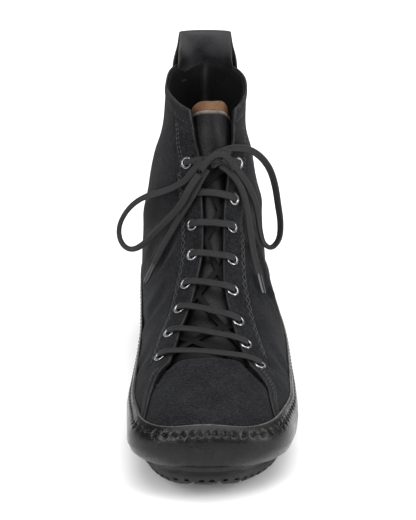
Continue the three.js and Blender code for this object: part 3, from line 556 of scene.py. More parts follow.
def new_material(name, dark, light, detail, rough, bump, bump_mm, **options):
    """detail(tree) returns a height, a shade between 0 and 1, and a gloss mask or None."""
    material = bpy.data.materials.new(name)
    material.use_nodes = True
    tree = material.node_tree
    shader = tree.nodes["Principled BSDF"]
    height, shade, gloss = detail(tree)
    colour = over(tree, shade, dark, light)
    wear = use_group(tree, WEAR, Dust_Height=options.get("dust_height", 0.03))
    dust = math_node(tree, "MULTIPLY", wear.outputs["Dust"], options.get("dust", 0.3))
    colour = over(tree, dust, colour, options.get("dust_colour", (0.16, 0.15, 0.14)))
    colour = over(tree, wear.outputs["Wear"], colour, options.get("wear_colour", (0.3, 0.29, 0.28)))
    tree.links.new(colour, shader.inputs["Base Color"])
    uneven = math_node(tree, "MULTIPLY", gloss if gloss else shade, rough[1] - rough[0])
    roughness = math_node(tree, "ADD", uneven, rough[0])
    roughness = math_node(tree, "ADD", roughness, math_node(tree, "MULTIPLY", dust, 0.5), clamp=True)
    tree.links.new(roughness, shader.inputs["Roughness"])
    relief = node(tree, "Bump", {"Height": height, "Strength": bump, "Distance": bump_mm * MM})
    tree.links.new(relief.outputs["Normal"], shader.inputs["Normal"])
    for key, value in options.get("sockets", {}).items():
        shader.inputs[key].default_value = value
    return material


# %% [markdown]
# The next functions choose what a material's surface is made of: cloth, leather or plaited lace. Each places
# the shared groups in the material's own tree and gives back a height, a shade and, for leather, a gloss
# mask.

# %% Kinds of surface
def cloth_detail(scale, fuzz):
    def detail(tree):
        group = use_group(tree, THREADS, Scale=scale, Fuzz=fuzz)
        return group.outputs["Height"], spread(tree, group.outputs["Shade"], 0.2, 0.95), None
    return detail


def leather_detail(scale, wrinkle):
    def detail(tree):
        group = use_group(tree, GRAIN, Scale=scale, Wrinkle=wrinkle)
        return group.outputs["Height"], group.outputs["Gloss"], group.outputs["Gloss"]
    return detail


def lace_detail(tree):
    plait = use_group(tree, PLAIT).outputs["Height"]
    fuzz = use_group(tree, THREADS, Scale=1500.0, Fuzz=0.9).outputs["Height"]
    height = weighted(tree, (plait, 0.8), (fuzz, 0.25))
    return height, spread(tree, height, 0.3, 0.8), None


print("three kinds of surface: cloth, leather, plaited lace")

# %% [markdown]
# The cloth is a charcoal felt with next to no gloss. The leather is almost black, so what the eye sees on it
# is the reflection of the lights: its roughness does more for its look than its colour. The inner lace is
# darker: its colour is painted shade, for the deep shadow that falls over the tongue between the bars.

# %% The finishes
CLOTH = new_material(
    "charcoal cloth", (0.0018, 0.0019, 0.0024), (0.02, 0.0206, 0.0234),
    cloth_detail(900.0, 0.72), (0.85, 0.98), 0.6, 0.4,
    dust=0.06, wear_colour=(0.06, 0.058, 0.056),
    sockets={"Sheen Weight": 0.03, "Sheen Roughness": 0.5, "Specular IOR Level": 0.1})
LEATHER = new_material(
    "waxed leather", (0.002, 0.002, 0.0022), (0.006, 0.006, 0.0065),
    leather_detail(1100.0, 0.9), (0.2, 0.38), 0.5, 0.3,
    dust=0.08, dust_height=0.04, wear_colour=(0.16, 0.15, 0.14),
    sockets={"Coat Weight": 0.08, "Coat Roughness": 0.18, "Specular IOR Level": 0.18})
STRAP = new_material(
    "strap leather", (0.008, 0.008, 0.009), (0.022, 0.0222, 0.0242),
    leather_detail(800.0, 0.6), (0.42, 0.62), 0.4, 0.25,
    dust=0.06, wear_colour=(0.08, 0.076, 0.072), sockets={"Specular IOR Level": 0.3})
# painted shade: the tongue's black tones are set darker than its leather, for the deep shadow under the lace
TONGUE = new_material(
    "tongue leather with painted shade", (0.0016, 0.0014, 0.0018), (0.0055, 0.005, 0.006),
    leather_detail(700.0, 1.2), (0.42, 0.62), 0.45, 0.3,
    dust=0.05, wear_colour=(0.17, 0.15, 0.13), sockets={"Specular IOR Level": 0.2})
LINING = new_material(
    "dark lining", (0.0025, 0.0025, 0.0027), (0.009, 0.0085, 0.0085),
    cloth_detail(1100.0, 0.5), (0.85, 0.97), 0.4, 0.25,
    dust=0.03, wear_colour=(0.03, 0.028, 0.027), sockets={"Specular IOR Level": 0.12})
TAN = new_material(
    "tan lining", (0.075, 0.036, 0.018), (0.16, 0.083, 0.042),
    leather_detail(900.0, 0.8), (0.6, 0.8), 0.35, 0.2,
    dust=0.06, wear_colour=(0.3, 0.22, 0.15), sockets={"Specular IOR Level": 0.25})
RUBBER = new_material(
    "black rubber", (0.002, 0.002, 0.0022), (0.006, 0.006, 0.0065),
    leather_detail(500.0, 0.3), (0.45, 0.66), 0.25, 0.15,
    dust=0.12, dust_height=0.012, wear_colour=(0.035, 0.034, 0.033), sockets={"Specular IOR Level": 0.2})
LACE = new_material(
    "waxed lace", (0.002, 0.002, 0.0023), (0.017, 0.0168, 0.018),
    lace_detail, (0.5, 0.68), 0.8, 0.4,
    dust=0.03, wear_colour=(0.1, 0.1, 0.1), sockets={"Specular IOR Level": 0.26, "Sheen Weight": 0.02})
THREAD = new_material(
    "sewing thread", (0.016, 0.016, 0.017), (0.05, 0.05, 0.052),
    cloth_detail(2200.0, 0.4), (0.5, 0.7), 0.5, 0.1,
    dust=0.0, sockets={"Specular IOR Level": 0.35})
# painted shade: the inner runs' lace is darker to stand for the deep shadow over the tongue
LACE_PAINTED_SHADE = new_material(
    "lace with painted shade", (0.001, 0.001, 0.0012), (0.007, 0.007, 0.0075),
    lace_detail, (0.6, 0.75), 0.8, 0.4,
    dust=0.0, sockets={"Specular IOR Level": 0.12})
METAL = new_material(
    "rolled metal", (0.2, 0.2, 0.205), (0.46, 0.46, 0.47),
    leather_detail(1300.0, 0.4), (0.16, 0.34), 0.12, 0.06,
    dust=0.05, sockets={"Metallic": 1.0})
TIP = new_material(
    "lace tip", (0.005, 0.005, 0.0055), (0.014, 0.014, 0.015),
    leather_detail(900.0, 0.4), (0.2, 0.36), 0.2, 0.1,
    dust=0.0, sockets={"Coat Weight": 0.3, "Coat Roughness": 0.2})
print(len(bpy.data.materials), "materials")

# %% [markdown]
# ## The bow
# The lace ends in a wide loose bow. Each loop and each end is a free cord with a real length: a flat waxed
# lace, 4.6 mm wide. Its routes are the ones in the CAD source, so the ribbon lies where the solid lies. Its
# flat face looks mostly to the front and twists away where the lace turns back at the far end of a loop. The
# second table gives that direction and the twist along each route.

# %% The bow's routes
LACE_WIDTH, LACE_THICKNESS, BOW_THICKNESS = 4.6, 1.4, 2.0
ROUTES = {
    "lace_loop_medial": [
        [-1, 175.8, 150], [-6.6, 175.8, 143.6], [-12.3, 176.8, 135.8], [-20.2, 180.7, 129.1],
        [-28.8, 188.5, 122.6], [-37.4, 197, 116.4], [-45.3, 202.5, 109.3], [-51.5, 204.5, 101.3],
        [-55.2, 203, 93.4], [-55.2, 199, 86.7], [-51.9, 195, 82.2], [-46.3, 190.5, 82.2],
        [-39.2, 184.5, 88.6], [-31.1, 176.5, 100.4], [-21.9, 170, 113.2], [-14.9, 167, 123.6],
        [-9.8, 167.9, 133.6], [-3.8, 170.8, 142],
    ],
    "lace_end_medial": [
        [1.4, 173.8, 144.5], [-2.9, 172, 137.3], [-8, 168.7, 128], [-14.6, 168.2, 116.4],
        [-21.4, 168.2, 103.7], [-27.6, 167.9, 91.9], [-32.6, 167.5, 81.1],
    ],
    "lace_loop_lateral": [
        [6.9, 176.7, 152.6], [12, 180, 154.8], [18.8, 184.4, 154.7], [25.9, 189.6, 152],
        [32.2, 194, 147.4], [37.7, 198, 140.6], [42, 200.5, 132.3], [45, 201.2, 121.8],
        [47, 200.2, 109.4], [48.6, 197, 97.4], [47.6, 193, 88.4], [43, 189, 84.2],
        [38, 186, 88.2], [35.4, 184.6, 97.6], [34, 184.8, 107.4], [32.2, 184.8, 116.6],
        [28.8, 182.6, 126.6], [24, 179.8, 136.6], [18, 177.2, 145.8], [11.2, 175.4, 151.4],
    ],
    "lace_end_lateral": [
        [9.9, 176.4, 146.2], [14.6, 176, 142.6], [20.3, 176.5, 135.4], [24.4, 176.2, 126.2],
        [27.3, 173.5, 114.2], [29.1, 165.6, 102.8], [31, 155.3, 93.5], [34, 144.6, 84.5],
    ],
}
FLAT_TURNS = {
    # the direction that the lace's flat face looks in, then its turn away from it along the route, in degrees
    "lace_loop_medial": ((0.0, -0.9, 0.42), (15, 30, 38, 55, 50, 20, 5, 10)),
    "lace_end_medial": ((-0.45, -0.75, 0.45), (0, 5, 5)),
    "lace_loop_lateral": ((0.15, -0.9, 0.42), (35, 20, 25, 35, 55, 30, 5, 5)),
    "lace_end_lateral": ((0.55, -0.7, 0.4), (0, 5, 0)),
}
print(len(ROUTES), "free parts of the lace")

# %% [markdown]
# Across, the flat lace is a bar with round corners and two low ridges on each face. One function gives that
# section and another the direction of its width at each point of a route.

# %% The ribbon's section and its twist
def lace_section(width=LACE_WIDTH, thickness=LACE_THICKNESS, sides=20):
    """The flat lace cut across: a rounded bar with two low ridges on each face."""
    turn = np.linspace(0, 2 * np.pi, sides, endpoint=False)
    across = width / 2 * np.sign(np.cos(turn)) * np.abs(np.cos(turn)) ** 0.55
    up = thickness / 2 * np.sign(np.sin(turn)) * np.abs(np.sin(turn)) ** 0.6
    ridge = 0.72 + 0.28 * np.abs(np.sin(2 * np.pi * across / width))
    return np.stack([across, up * ridge], -1)


def width_along(path, front, turns):
    """The lace's width direction at each point, from where its flat face looks."""
    tangent = unit(np.gradient(path, axis=0))
    broad = unit(np.cross(tangent, unit(np.array(front))))
    share = np.linspace(0, 1, len(path))
    angle = np.radians(np.interp(share, np.linspace(0, 1, len(turns)), turns))[:, None]
    return np.cos(angle) * broad + np.sin(angle) * np.cross(tangent, broad)


print("the section has", len(lace_section()), "sides")

# %% Lay the ribbons
RIBBON_STEP = 1.6
bow_paths = {}
for name, route in ROUTES.items():
    steps = int(path_length(np.array(route, float)) / RIBBON_STEP)
    path = curve_through(route, steps)
    section = lace_section(thickness=BOW_THICKNESS)
    points, faces, fields = sweep(path, width_along(path, *FLAT_TURNS[name]), section)
    bow_paths[name] = path
    add_piece(name + "_ribbon", points, faces, LACE, [name], fields, sharp=70)
    print(name, round(path_length(path), 1), "mm long")

# %% [markdown]
# Each free end is closed by a stiff tip, a little tube pressed round the lace.

# %% The stiff tips
AGLET_LENGTH, AGLET_RADIUS, AGLET_STEPS = 13.0, 1.4, 12
AGLET_OVAL = np.array([1.25, 0.8])
for side in ("medial", "lateral"):
    path = bow_paths["lace_end_" + side]
    along_end = unit(path[-1] - path[-2])
    start = path[-1] - along_end * 0.8
    line = start + along_end * np.linspace(0, AGLET_LENGTH + 1.0, AGLET_STEPS)[:, None]
    section = AGLET_RADIUS * circle(20) * AGLET_OVAL
    taper = np.interp(np.arange(AGLET_STEPS), [0, 1, 9, 11], [0.97, 1.0, 1.0, 0.8])
    points, faces, fields = sweep(line, width_along(line, *FLAT_TURNS["lace_end_" + side]), section, taper)
    tip = add_piece("lace_tip_" + side, points, faces, TIP, ["aglet_" + side], fields, sharp=60)

# %% [markdown]
# ## Edges of the panels
# A quarter is one side of the upper, from the facing with its eyelets to the seam at the heel. Its front edge
# is given here as places on the last: below the throat it crosses the toe panel, above it is the facing's
# edge.

# %% Tables of edges and eyelets
WALL, QUARTER_STEP, GAP = 1.8, 1.2, 0.3
THROAT_START = 0.378
QUARTER_EDGES = np.array([
    # along, medial, lateral
    [0.1, 0.72, 0.72], [0.16, 0.56, 0.6], [0.19, 0.434, 0.5], [0.22, 0.341, 0.38], [0.25, 0.307, 0.313],
    [0.28, 0.28, 0.271], [0.31, 0.246, 0.241], [0.34, 0.222, 0.19], [0.36, 0.2, 0.158], [0.378, 0.166, 0.148],
    [0.45, 0.145, 0.1], [0.49, 0.11, 0.078], [0.53, 0.088, 0.06], [0.576, 0.06, 0.06], [0.63, 0.056, 0.065],
    [0.7, 0.06, 0.078], [0.8, 0.073, 0.105], [0.9, 0.125, 0.185], [1.0, 0.2, 0.27],
])
EYELETS = np.array([
    # medial along and around, lateral along and around
    [0.406, -0.219, 0.373, 0.193], [0.45, -0.195, 0.419, 0.142], [0.489, -0.16, 0.459, 0.116],
    [0.529, -0.138, 0.512, 0.096], [0.576, -0.107, 0.566, 0.098], [0.633, -0.103, 0.628, 0.104],
    [0.702, -0.112, 0.691, 0.12], [0.786, -0.132, 0.788, 0.155],
])
COLLAR_DIP, COLLAR_TILT, COLLAR_BACK, COLLAR_FRONT = 6.0, 0.06, 0.965, 0.7
SIDES = {"medial": -1, "lateral": 1}
print(2 * len(EYELETS), "eyelets")

# %% [markdown]
# The panels' borders follow from those tables. The collar is a plane that dips to the front and tilts a
# little sideways. The feather line is where the upper meets the sole. A quarter's places are a patch blended
# between its four borders, as a sheet stretched on a frame.

# %% Borders of a panel
PATCH_START, PATCH_HEEL = 0.1, 0.66  # `along` where a quarter begins at the toe and meets the heel seam


def place_of(row, side):
    return EYELETS[row][[0, 1] if side == "medial" else [2, 3]]


def collar_height(p):
    forward = np.maximum(0, COLLAR_BACK - p[..., 1] / LENGTH) / (COLLAR_BACK - COLLAR_FRONT)
    return HEEL + INSTEP_HEIGHT + SHAFT_HEIGHT - COLLAR_DIP * forward ** 2 - COLLAR_TILT * p[..., 0]


def edge_around(along, side):
    return np.interp(along, QUARTER_EDGES[:, 0], QUARTER_EDGES[:, 1 + (side == "lateral")])


def feather_around(along, lift=2.0):
    """Where the last meets the sole, in `around`, for one side."""
    def above(v):
        p = last(along, v)
        return p[..., 2] > footbed(p[..., 1]) + lift
    return solve(np.full_like(along, 0.5), np.ones_like(along), above)


def collar_along(around, lower=0.0):
    def under(a):
        p = last(a, around)
        return p[..., 2] < collar_height(p) - lower
    return solve(np.full_like(around, 0.72), np.ones_like(around), under)


def quarter_places(side, columns, rows, lower=0.0):
    """A patch of places between the free edge, the heel seam, the sole and the collar."""
    u = (np.linspace(0, 1, columns) ** 1.25)[None, :]
    w = np.linspace(0, 1, rows)[:, None]
    sign = SIDES[side]
    corner = 0.93
    for _ in range(4):
        corner = float(collar_along(np.array([sign * edge_around(corner, side)]), lower)[0])
    left_along = mix(PATCH_START, corner, w)
    left = np.stack([left_along, edge_around(left_along, side)], -1)
    back = float(collar_along(np.array([1.0 * sign]), lower)[0])
    right = np.stack([mix(PATCH_HEEL, back, w), np.ones_like(w)], -1)
    low_along = mix(PATCH_START, PATCH_HEEL, u)
    low_around = mix(left[0, 0, 1], feather_around(low_along), smooth(u, 0, 0.2))
    low_around = mix(low_around, 1.0, smooth(u, 0.85, 1.0))
    bottom = np.stack([low_along, low_around], -1)
    top_around = mix(left[-1, 0, 1], 1.0, u)
    top = np.stack([collar_along(sign * top_around, lower), top_around], -1)
    u, w = u[..., None], w[..., None]
    corners = (1 - w) * mix(bottom[:, :1], bottom[:, -1:], u) + w * mix(top[:, :1], top[:, -1:], u)
    patch = (1 - w) * bottom + w * top + (1 - u) * left + u * right - corners
    return patch[..., 0], sign * patch[..., 1]


print("the collar's corners are at", np.round(collar_along(np.array([-0.1, 0.16])), 3), "along the last")

# %% [markdown]
# ## Creases
# Cloth over an ankle folds where the foot bends. Each crease here is a short line of places on the last with
# a width and a depth in millimetres. A vertex sinks by a soft bell of its distance to the line, and the cloth
# beside the trough rises a little, because the folded cloth has to go somewhere.

# %% Creases
CREASE_STEPS = 28
CREASES = [
    # places, width, depth, ridge
    ([(0.63, -0.19), (0.612, -0.23), (0.595, -0.3), (0.597, -0.38), (0.6, -0.46)], 4.2, 2.6, 1.1),
    ([(0.64, -0.3), (0.622, -0.38), (0.625, -0.47)], 4.0, 1.3, 0.7),
    ([(0.54, -0.24), (0.53, -0.31), (0.53, -0.4), (0.55, -0.5)], 4.5, 1.4, 0.7),
    ([(0.7, -0.24), (0.69, -0.34), (0.7, -0.46)], 6.0, 1.1, 0.6),
    ([(0.64, 0.17), (0.612, 0.252), (0.589, 0.29), (0.56, 0.298), (0.532, 0.268)], 3.6, 2.8, 1.3),
    ([(0.585, 0.2), (0.56, 0.262), (0.54, 0.33), (0.52, 0.42)], 3.6, 1.8, 0.9),
    ([(0.66, 0.27), (0.635, 0.36), (0.64, 0.46)], 4.6, 1.4, 0.8),
    ([(0.7, 0.24), (0.71, 0.36), (0.73, 0.48)], 6.0, 1.0, 0.6),
    ([(0.45, -0.3), (0.43, -0.36), (0.42, -0.45)], 4.5, 0.9, 0.5),
    ([(0.44, 0.25), (0.42, 0.33), (0.41, 0.43)], 4.5, 1.0, 0.6),
    ([(0.82, -0.3), (0.8, -0.45), (0.79, -0.6)], 8.0, 0.9, 0.4),
    ([(0.84, 0.32), (0.81, 0.46), (0.8, 0.62)], 8.0, 0.9, 0.4),
    ([(0.73, 0.62), (0.72, 0.75), (0.73, 0.88)], 8.0, 0.8, 0.4),
    ([(0.72, -0.64), (0.71, -0.78), (0.73, -0.9)], 8.0, 0.7, 0.4),
    ([(0.347, -0.14), (0.32, -0.17), (0.29, -0.2)], 4.5, 1.4, 0.3),
    ([(0.35, 0.11), (0.318, 0.15), (0.28, 0.19)], 4.5, 1.6, 0.3),
    ([(0.3, -0.08), (0.285, 0.0), (0.3, 0.09)], 8.0, 0.7, 0.4),
    ([(0.25, -0.16), (0.235, -0.02), (0.24, 0.12)], 9.0, 0.5, 0.3),
]


def crease_relief(points):
    total = np.zeros(points.shape[:-1])
    for places, width, depth, ridge in CREASES:
        line = curve_through(places, CREASE_STEPS)
        spine = last(line[:, 0], line[:, 1])
        gaps = np.linalg.norm(points[..., None, :] - spine, axis=-1)
        nearest = gaps.argmin(-1)
        gap = gaps.min(-1)
        fade = np.sin(np.pi * np.clip((nearest + 0.5) / CREASE_STEPS, 0, 1)) ** 0.7
        total -= fade * depth * bell(gap, width)
        total += fade * ridge * bell(gap - 2.0 * width, 0.9 * width)
    return total


print(len(CREASES), "creases")

# %% [markdown]
# Nothing on a worn shoe is quite even. Four long waves in different directions, added up, give every sheet a
# slow unevenness. The facing is a second layer along the eyelets, so the cloth behind it lies lower. The
# collar is turned over a soft edge with a sewn groove, each eyelet is pressed in a little, and a seam runs
# down the heel.

# %% Relief of the upper
WAVES = [
    # direction, wavelength in mm, phase
    ((0.3, 1.0, 0.4), 47.0, 0.4),
    ((1.0, -0.4, 0.7), 38.0, 1.7),
    ((-0.5, 0.6, 1.0), 29.0, 2.9),
    ((0.8, 0.9, -0.6), 21.0, 4.2),
]


def slow_waves(points, height):
    total = 0
    for direction, wavelength, phase in WAVES:
        total = total + np.sin(2 * np.pi * (points @ unit(np.array(direction))) / wavelength + phase)
    return height * total / len(WAVES)


FACING_WIDTH = np.array([[0.378, 13.0], [0.45, 14.0], [0.55, 13.0], [0.7, 13.5], [0.8, 14.0], [1.0, 14.5]])
FACING_STEP, FACING_SEAM = 0.7, 0.35
EYELET_SEAT, HEEL_SEAM, DEEPEST = 0.35, 0.5, -1.6


def facing_distance(along, around, side):
    """How far a place is from the free edge, in mm round the section."""
    edge = last(along, SIDES[side] * edge_around(along, side))
    return np.linalg.norm(last(along, around) - edge, axis=-1)


def upper_offset(along, around, side):
    base = last(along, around)
    offset = QUARTER_STEP + crease_relief(base) + slow_waves(base, 0.35)
    # the facing is a second layer along the eyelets, held down by its seam: past it the cloth lies lower
    width = np.interp(along, FACING_WIDTH[:, 0], FACING_WIDTH[:, 1])
    gap = facing_distance(along, around, side)
    beyond = smooth(along, 0.3, 0.42)
    offset = offset - beyond * FACING_STEP * smooth(gap, width - 0.5, width + 0.5)
    offset = offset - beyond * FACING_SEAM * bell(gap - width - 1.4, 1.3)
    # each eyelet is set a little into the cloth
    for row in range(len(EYELETS)):
        ring = last(*place_of(row, side))
        offset = offset - EYELET_SEAT * (1 - smooth(np.linalg.norm(base - ring, axis=-1), 3.9, 5.6))
    # the collar is turned over a soft edge, with a groove where it is sewn
    drop = collar_height(base) - base[..., 2]
    offset = offset + 0.5 * bell(drop - 3.0, 3.0) - 0.4 * bell(drop - 8.5, 1.2)
    # the seam down the heel
    at_heel = (np.abs(around) > 0.5) * (base[..., 2] > 40)
    offset = offset - HEEL_SEAM * bell(base[..., 0], 1.2) * at_heel
    return np.maximum(offset, DEEPEST)


print("the cloth lies", FACING_STEP, "mm lower behind the facing")


# %% [markdown]
# ## Quarters and lining
# Each quarter is a sheet between two grids of places: its outer face carries creases, facing and collar, and
# its inner face lies close to the last. A field named `wear` marks the cut edge, so that it can be a little
# paler.

# %% Make the quarters
QUARTER_COLUMNS, QUARTER_ROWS = 150, 150


def sheet_fields(rows, columns, width=1.6, front=1.0, top=0.7):
    """The wear field of a thick sheet: near its first column and last row, and on the rim."""
    wear = np.zeros((rows, columns))
    wear[:, 0] = front
    wear[-1, :] = top
    rim = 2 * (rows + columns) - 4
    return {"wear": np.concatenate([wear.ravel(), wear.ravel(), np.full(rim, width / 2)])}


for side in SIDES:
    along, around = quarter_places(side, QUARTER_COLUMNS, QUARTER_ROWS)
    offset = upper_offset(along, around, side)
    outer = on_last(along, around, offset)
    inner = on_last(along, around, np.minimum(offset - 1.0, -0.3))
    points, faces = thick_sheet(outer, inner)
    fields = sheet_fields(QUARTER_ROWS, QUARTER_COLUMNS, 1.0, 0.25, 0.25)
    add_piece("quarter_" + side, points, faces, CLOTH, ["upper"], fields, sharp=42)

# %% [markdown]
# The lining lies behind the quarters and follows their creases, so that it never comes through. Down the heel
# it has a taped seam, a little raised and rubbed paler.

# %% Make the linings
LINING_COLUMNS, LINING_ROWS = 70, 80
for side in SIDES:
    along, around = quarter_places(side, LINING_COLUMNS, LINING_ROWS, lower=1.2)
    behind = np.minimum(-0.4, upper_offset(along, around, side) - 1.1)
    outer = on_last(along, around, behind)
    seam = bell(outer[..., 0], 1.6) * (np.abs(around) > 0.5)
    inner = on_last(along, around, behind - 1.3 + 0.2 * slow_waves(outer, 1.0) - 0.5 * seam)
    points, faces = thick_sheet(outer, inner)
    fields = sheet_fields(LINING_ROWS, LINING_COLUMNS, 0.0, 0.0, 0.3)
    both_faces = slice(0, 2 * seam.size)
    fields["wear"][both_faces] = np.maximum(fields["wear"][both_faces], np.tile(seam.ravel(), 2))
    add_piece("lining_" + side, points, faces, LINING, ["upper"], fields, sharp=42)

# %% [markdown]
# ## Toe panel
# The toe panel lies under the quarters. It is one smooth felt sheet from the sole over the toe up to the
# throat, so its places run from one feather line to the other. Near the quarters' corners it sinks, which
# gives the dark wedges beside them.

# %% Make the toe panel
VAMP_ROWS, VAMP_COLUMNS = 130, 180
VAMP_START, VAMP_END = 0.003, THROAT_START - 0.006
EDGE_SINK, CORNER_SINK = 1.1, 3.2
rows = mix(VAMP_START, VAMP_END, np.linspace(0, 1, VAMP_ROWS) ** 0.8)[:, None]
reach = feather_around(rows[:, 0])[:, None]
along = np.broadcast_to(rows, (VAMP_ROWS, VAMP_COLUMNS))
around = np.linspace(-1, 1, VAMP_COLUMNS)[None, :] * reach
base = last(along, around)
offset = crease_relief(base) + slow_waves(base, 0.25)
for side, sign in SIDES.items():
    # the panel sinks beside the quarter's edge, and deep at its corner by the throat
    gap = facing_distance(along, sign * np.abs(around), side)
    here = (around * sign > 0) & (along > 0.12)
    offset = offset - here * EDGE_SINK * bell(gap, 1.5)
    offset = offset - here * CORNER_SINK * bell(gap, 5.5) * smooth(along, 0.29, 0.35)
outer = on_last(along, around, offset)
inner = on_last(along, around, np.minimum(offset - 1.2, -1.7))
points, faces = thick_sheet(outer, inner)
fields = sheet_fields(VAMP_ROWS, VAMP_COLUMNS, 0.6, 0.0, 0.35)
add_piece("toe_panel", points, faces, CLOTH, ["upper"], fields, sharp=42)

# %% [markdown]
# ## Tongue
# The tongue is a soft leather sheet under the lace, seated beneath the toe panel. It sinks a little along its
# two sides, ripples slowly and ends in a pale cut edge above the last lace.

# %% Make the tongue
TONGUE_EDGES = np.array([
    # along, medial, lateral
    [0.325, -0.27, 0.25], [0.45, -0.25, 0.21], [0.6, -0.2, 0.19], [0.8, -0.22, 0.24], [0.95, -0.24, 0.28],
])
TONGUE_DEPTH, TONGUE_THICKNESS, TONGUE_CORNER, TONGUE_SEAT = 5.0, 2.0, 0.02, 0.018
TONGUE_ROWS, TONGUE_COLUMNS = 120, 60


def tongue_places(rows, columns, top=1.0):
    s = np.linspace(0, top, rows)[:, None]
    t = np.linspace(0, 1, columns)[None, :]
    along = mix(TONGUE_EDGES[0, 0], TONGUE_EDGES[-1, 0] - TONGUE_CORNER * (2 * t - 1) ** 4, s)
    low = np.interp(along, TONGUE_EDGES[:, 0], TONGUE_EDGES[:, 1])
    high = np.interp(along, TONGUE_EDGES[:, 0], TONGUE_EDGES[:, 2])
    return along, mix(low, high, t), s, t


def tongue_depth(along, around, t):
    seat = (along - TONGUE_EDGES[0, 0]) / (THROAT_START - TONGUE_SEAT - TONGUE_EDGES[0, 0])
    depth = mix(-WALL - GAP, -TONGUE_DEPTH, smooth(seat, 0, 1))
    ripple = slow_waves(last(along, around), 0.3)
    rim = -0.5 * (1 - smooth(np.minimum(t, 1 - t), 0, 0.06))
    return depth + np.minimum(ripple, 0.25) + rim


along, around, s, t = tongue_places(TONGUE_ROWS, TONGUE_COLUMNS, top=1.0)
depth = tongue_depth(along, around, t + 0 * s)
outer = on_last(along, around, depth)
inner = on_last(along, around, depth - TONGUE_THICKNESS + 0.3)
points, faces = thick_sheet(outer, inner)
wear = sheet_fields(TONGUE_ROWS, TONGUE_COLUMNS, 2.0, 0.0, 1.0)
# the tongue's darker material is partly painted shade from the lace above
add_piece("tongue_leather", points, faces, TONGUE, ["tongue"], wear, sharp=42)

# %% [markdown]
# The backing is a thin tan leather. It stands a little higher than the tongue's black face, so a strip of it
# shows above the cut edge.

# %% Make the backing
BACKING_ROWS, BACKING_COLUMNS, BACKING_TOP = 60, 40, 1.028
along, around, s, t = tongue_places(BACKING_ROWS, BACKING_COLUMNS, top=BACKING_TOP)
depth = tongue_depth(along, around, t + 0 * s) - TONGUE_THICKNESS + 0.25
points, faces = thick_sheet(on_last(along, around, depth), on_last(along, around, depth - 0.5))
fields = sheet_fields(BACKING_ROWS, BACKING_COLUMNS, 0, 0, 0)
add_piece("tongue_backing", points, faces, TAN, ["tongue"], fields, sharp=42)

# %% [markdown]
# ## The shoe's outline
# The leather band, the sole and the insole all follow the feather line, where the upper meets the sole. We
# walk round it once, space its points evenly and keep the outward direction at each. For the band we then
# need the upper's surface at a given height beside each station: a ray cast inwards on a fine mesh of the
# last finds it. The toe turns so tightly that the line is evened there, or the band's edge would show small
# kinks.

# %% Stations round the sole
STATIONS = 720
TOE_EVENING = 90
HEEL_SEARCH = 0.8  # the section that the search for the heel's end starts from


def evened(line, times):
    """A closed line with its stations evened out, most at the toe, which turns tightly."""
    at_toe = mix(0.05, 1.0, 1 - smooth(line[:, 1], 40.0, 85.0))[:, None]
    for _ in range(times):
        line = mix(line, (np.roll(line, 1, 0) + 2 * line + np.roll(line, -1, 0)) / 4, at_toe)
    return line


def feather_line():
    def ring_above(a, v):
        p = last(a, v)
        return p[..., 2] > footbed(p[..., 1]) + GAP
    toe = float(solve(np.array([0.0]), np.array([0.1]), lambda a: ring_above(a, 1.0))[0])
    down = solve(np.array([0.0]), np.array([0.2]), lambda d: ring_above(HEEL_SEARCH - d, 1.0))
    heel = HEEL_SEARCH - float(down[0])
    share = (1 - np.cos(np.linspace(0, np.pi, 240))) / 2
    along = mix(toe, heel, share)
    around = feather_around(along, GAP)
    around[[0, -1]] = 1.0
    loop = np.concatenate([last(along, around), last(along, -around)[::-1][1:-1]])
    closed = np.concatenate([loop, loop[:1]])
    walked = walk(closed[:, :2])
    even = np.linspace(0, walked[-1], STATIONS, endpoint=False)
    line = np.stack([np.interp(even, walked, closed[:, k]) for k in range(3)], -1)
    line = evened(line, TOE_EVENING)
    run = np.roll(line, -1, 0) - np.roll(line, 1, 0)
    out = unit(np.stack([run[:, 1], -run[:, 0], 0 * run[:, 0]], -1))
    return line, out, walked[-1]


stations, outward, girth = feather_line()
station_walk = np.arange(STATIONS) * girth / STATIONS
print("feather line", round(girth, 1), "mm round")

# %% Find the last's surface beside a station
RAY_START = 40.0
fine = last(np.linspace(0.0005, 0.85, 420)[:, None], np.linspace(-1, 1, 500)[None, :])
last_tree = BVHTree.FromPolygons(fine.reshape(-1, 3).tolist(), grid_faces(*fine.shape[:2]))


def beside(height):
    """The last's surface beside each station at a height above the footbed."""
    found = np.empty((STATIONS, 3))
    for i, (p, n) in enumerate(zip(stations, outward)):
        z = float(footbed(p[1]) + height[i])
        start = Vector((p[0] + RAY_START * n[0], p[1] + RAY_START * n[1], z))
        hit = last_tree.ray_cast(start, Vector((-n[0], -n[1], 0.0)))[0]
        found[i] = hit if hit else (p[0], p[1], z)
    return evened(found, TOE_EVENING)


def from_middle(pitch):
    """How far each station is from the middle of its repeat, where something repeats round the shoe."""
    return np.abs(((station_walk / pitch) % 1) - 0.5) * pitch


print("the fine last has", fine.shape[0] * fine.shape[1], "points")

# %% [markdown]
# ## Leather band
# A band of waxed leather covers the join all round the foot. It is almost two millimetres thick, lower at the
# toe and higher at the heel. The band is built as rows beside the stations: rows at fixed levels near the
# sole, rows at fixed drops below the top edge, where the fine detail is, and three rows down its inside.

# %% The band's rows
BAND_HEIGHT, BAND_TOE_DROP, BAND_HEEL_RISE, BAND_THICKNESS = 28.0, 5.0, 3.0, 1.8
LEVELS = [0.25, 2, 5, 9, 13, 17]
DROPS = [7.5, 5.8, 5.0, 4.4, 3.8, 3.2, 2.6, 1.5, 0.7, 0.2]
INSIDE_DROPS = [0.0, 1.0, 6.0]


def band_height(y):
    share = y / LENGTH
    at_toe, at_heel = 1 - smooth(share, 0, 0.16), smooth(share, 0.6, 0.95)
    return BAND_HEIGHT - BAND_TOE_DROP * at_toe + BAND_HEEL_RISE * at_heel


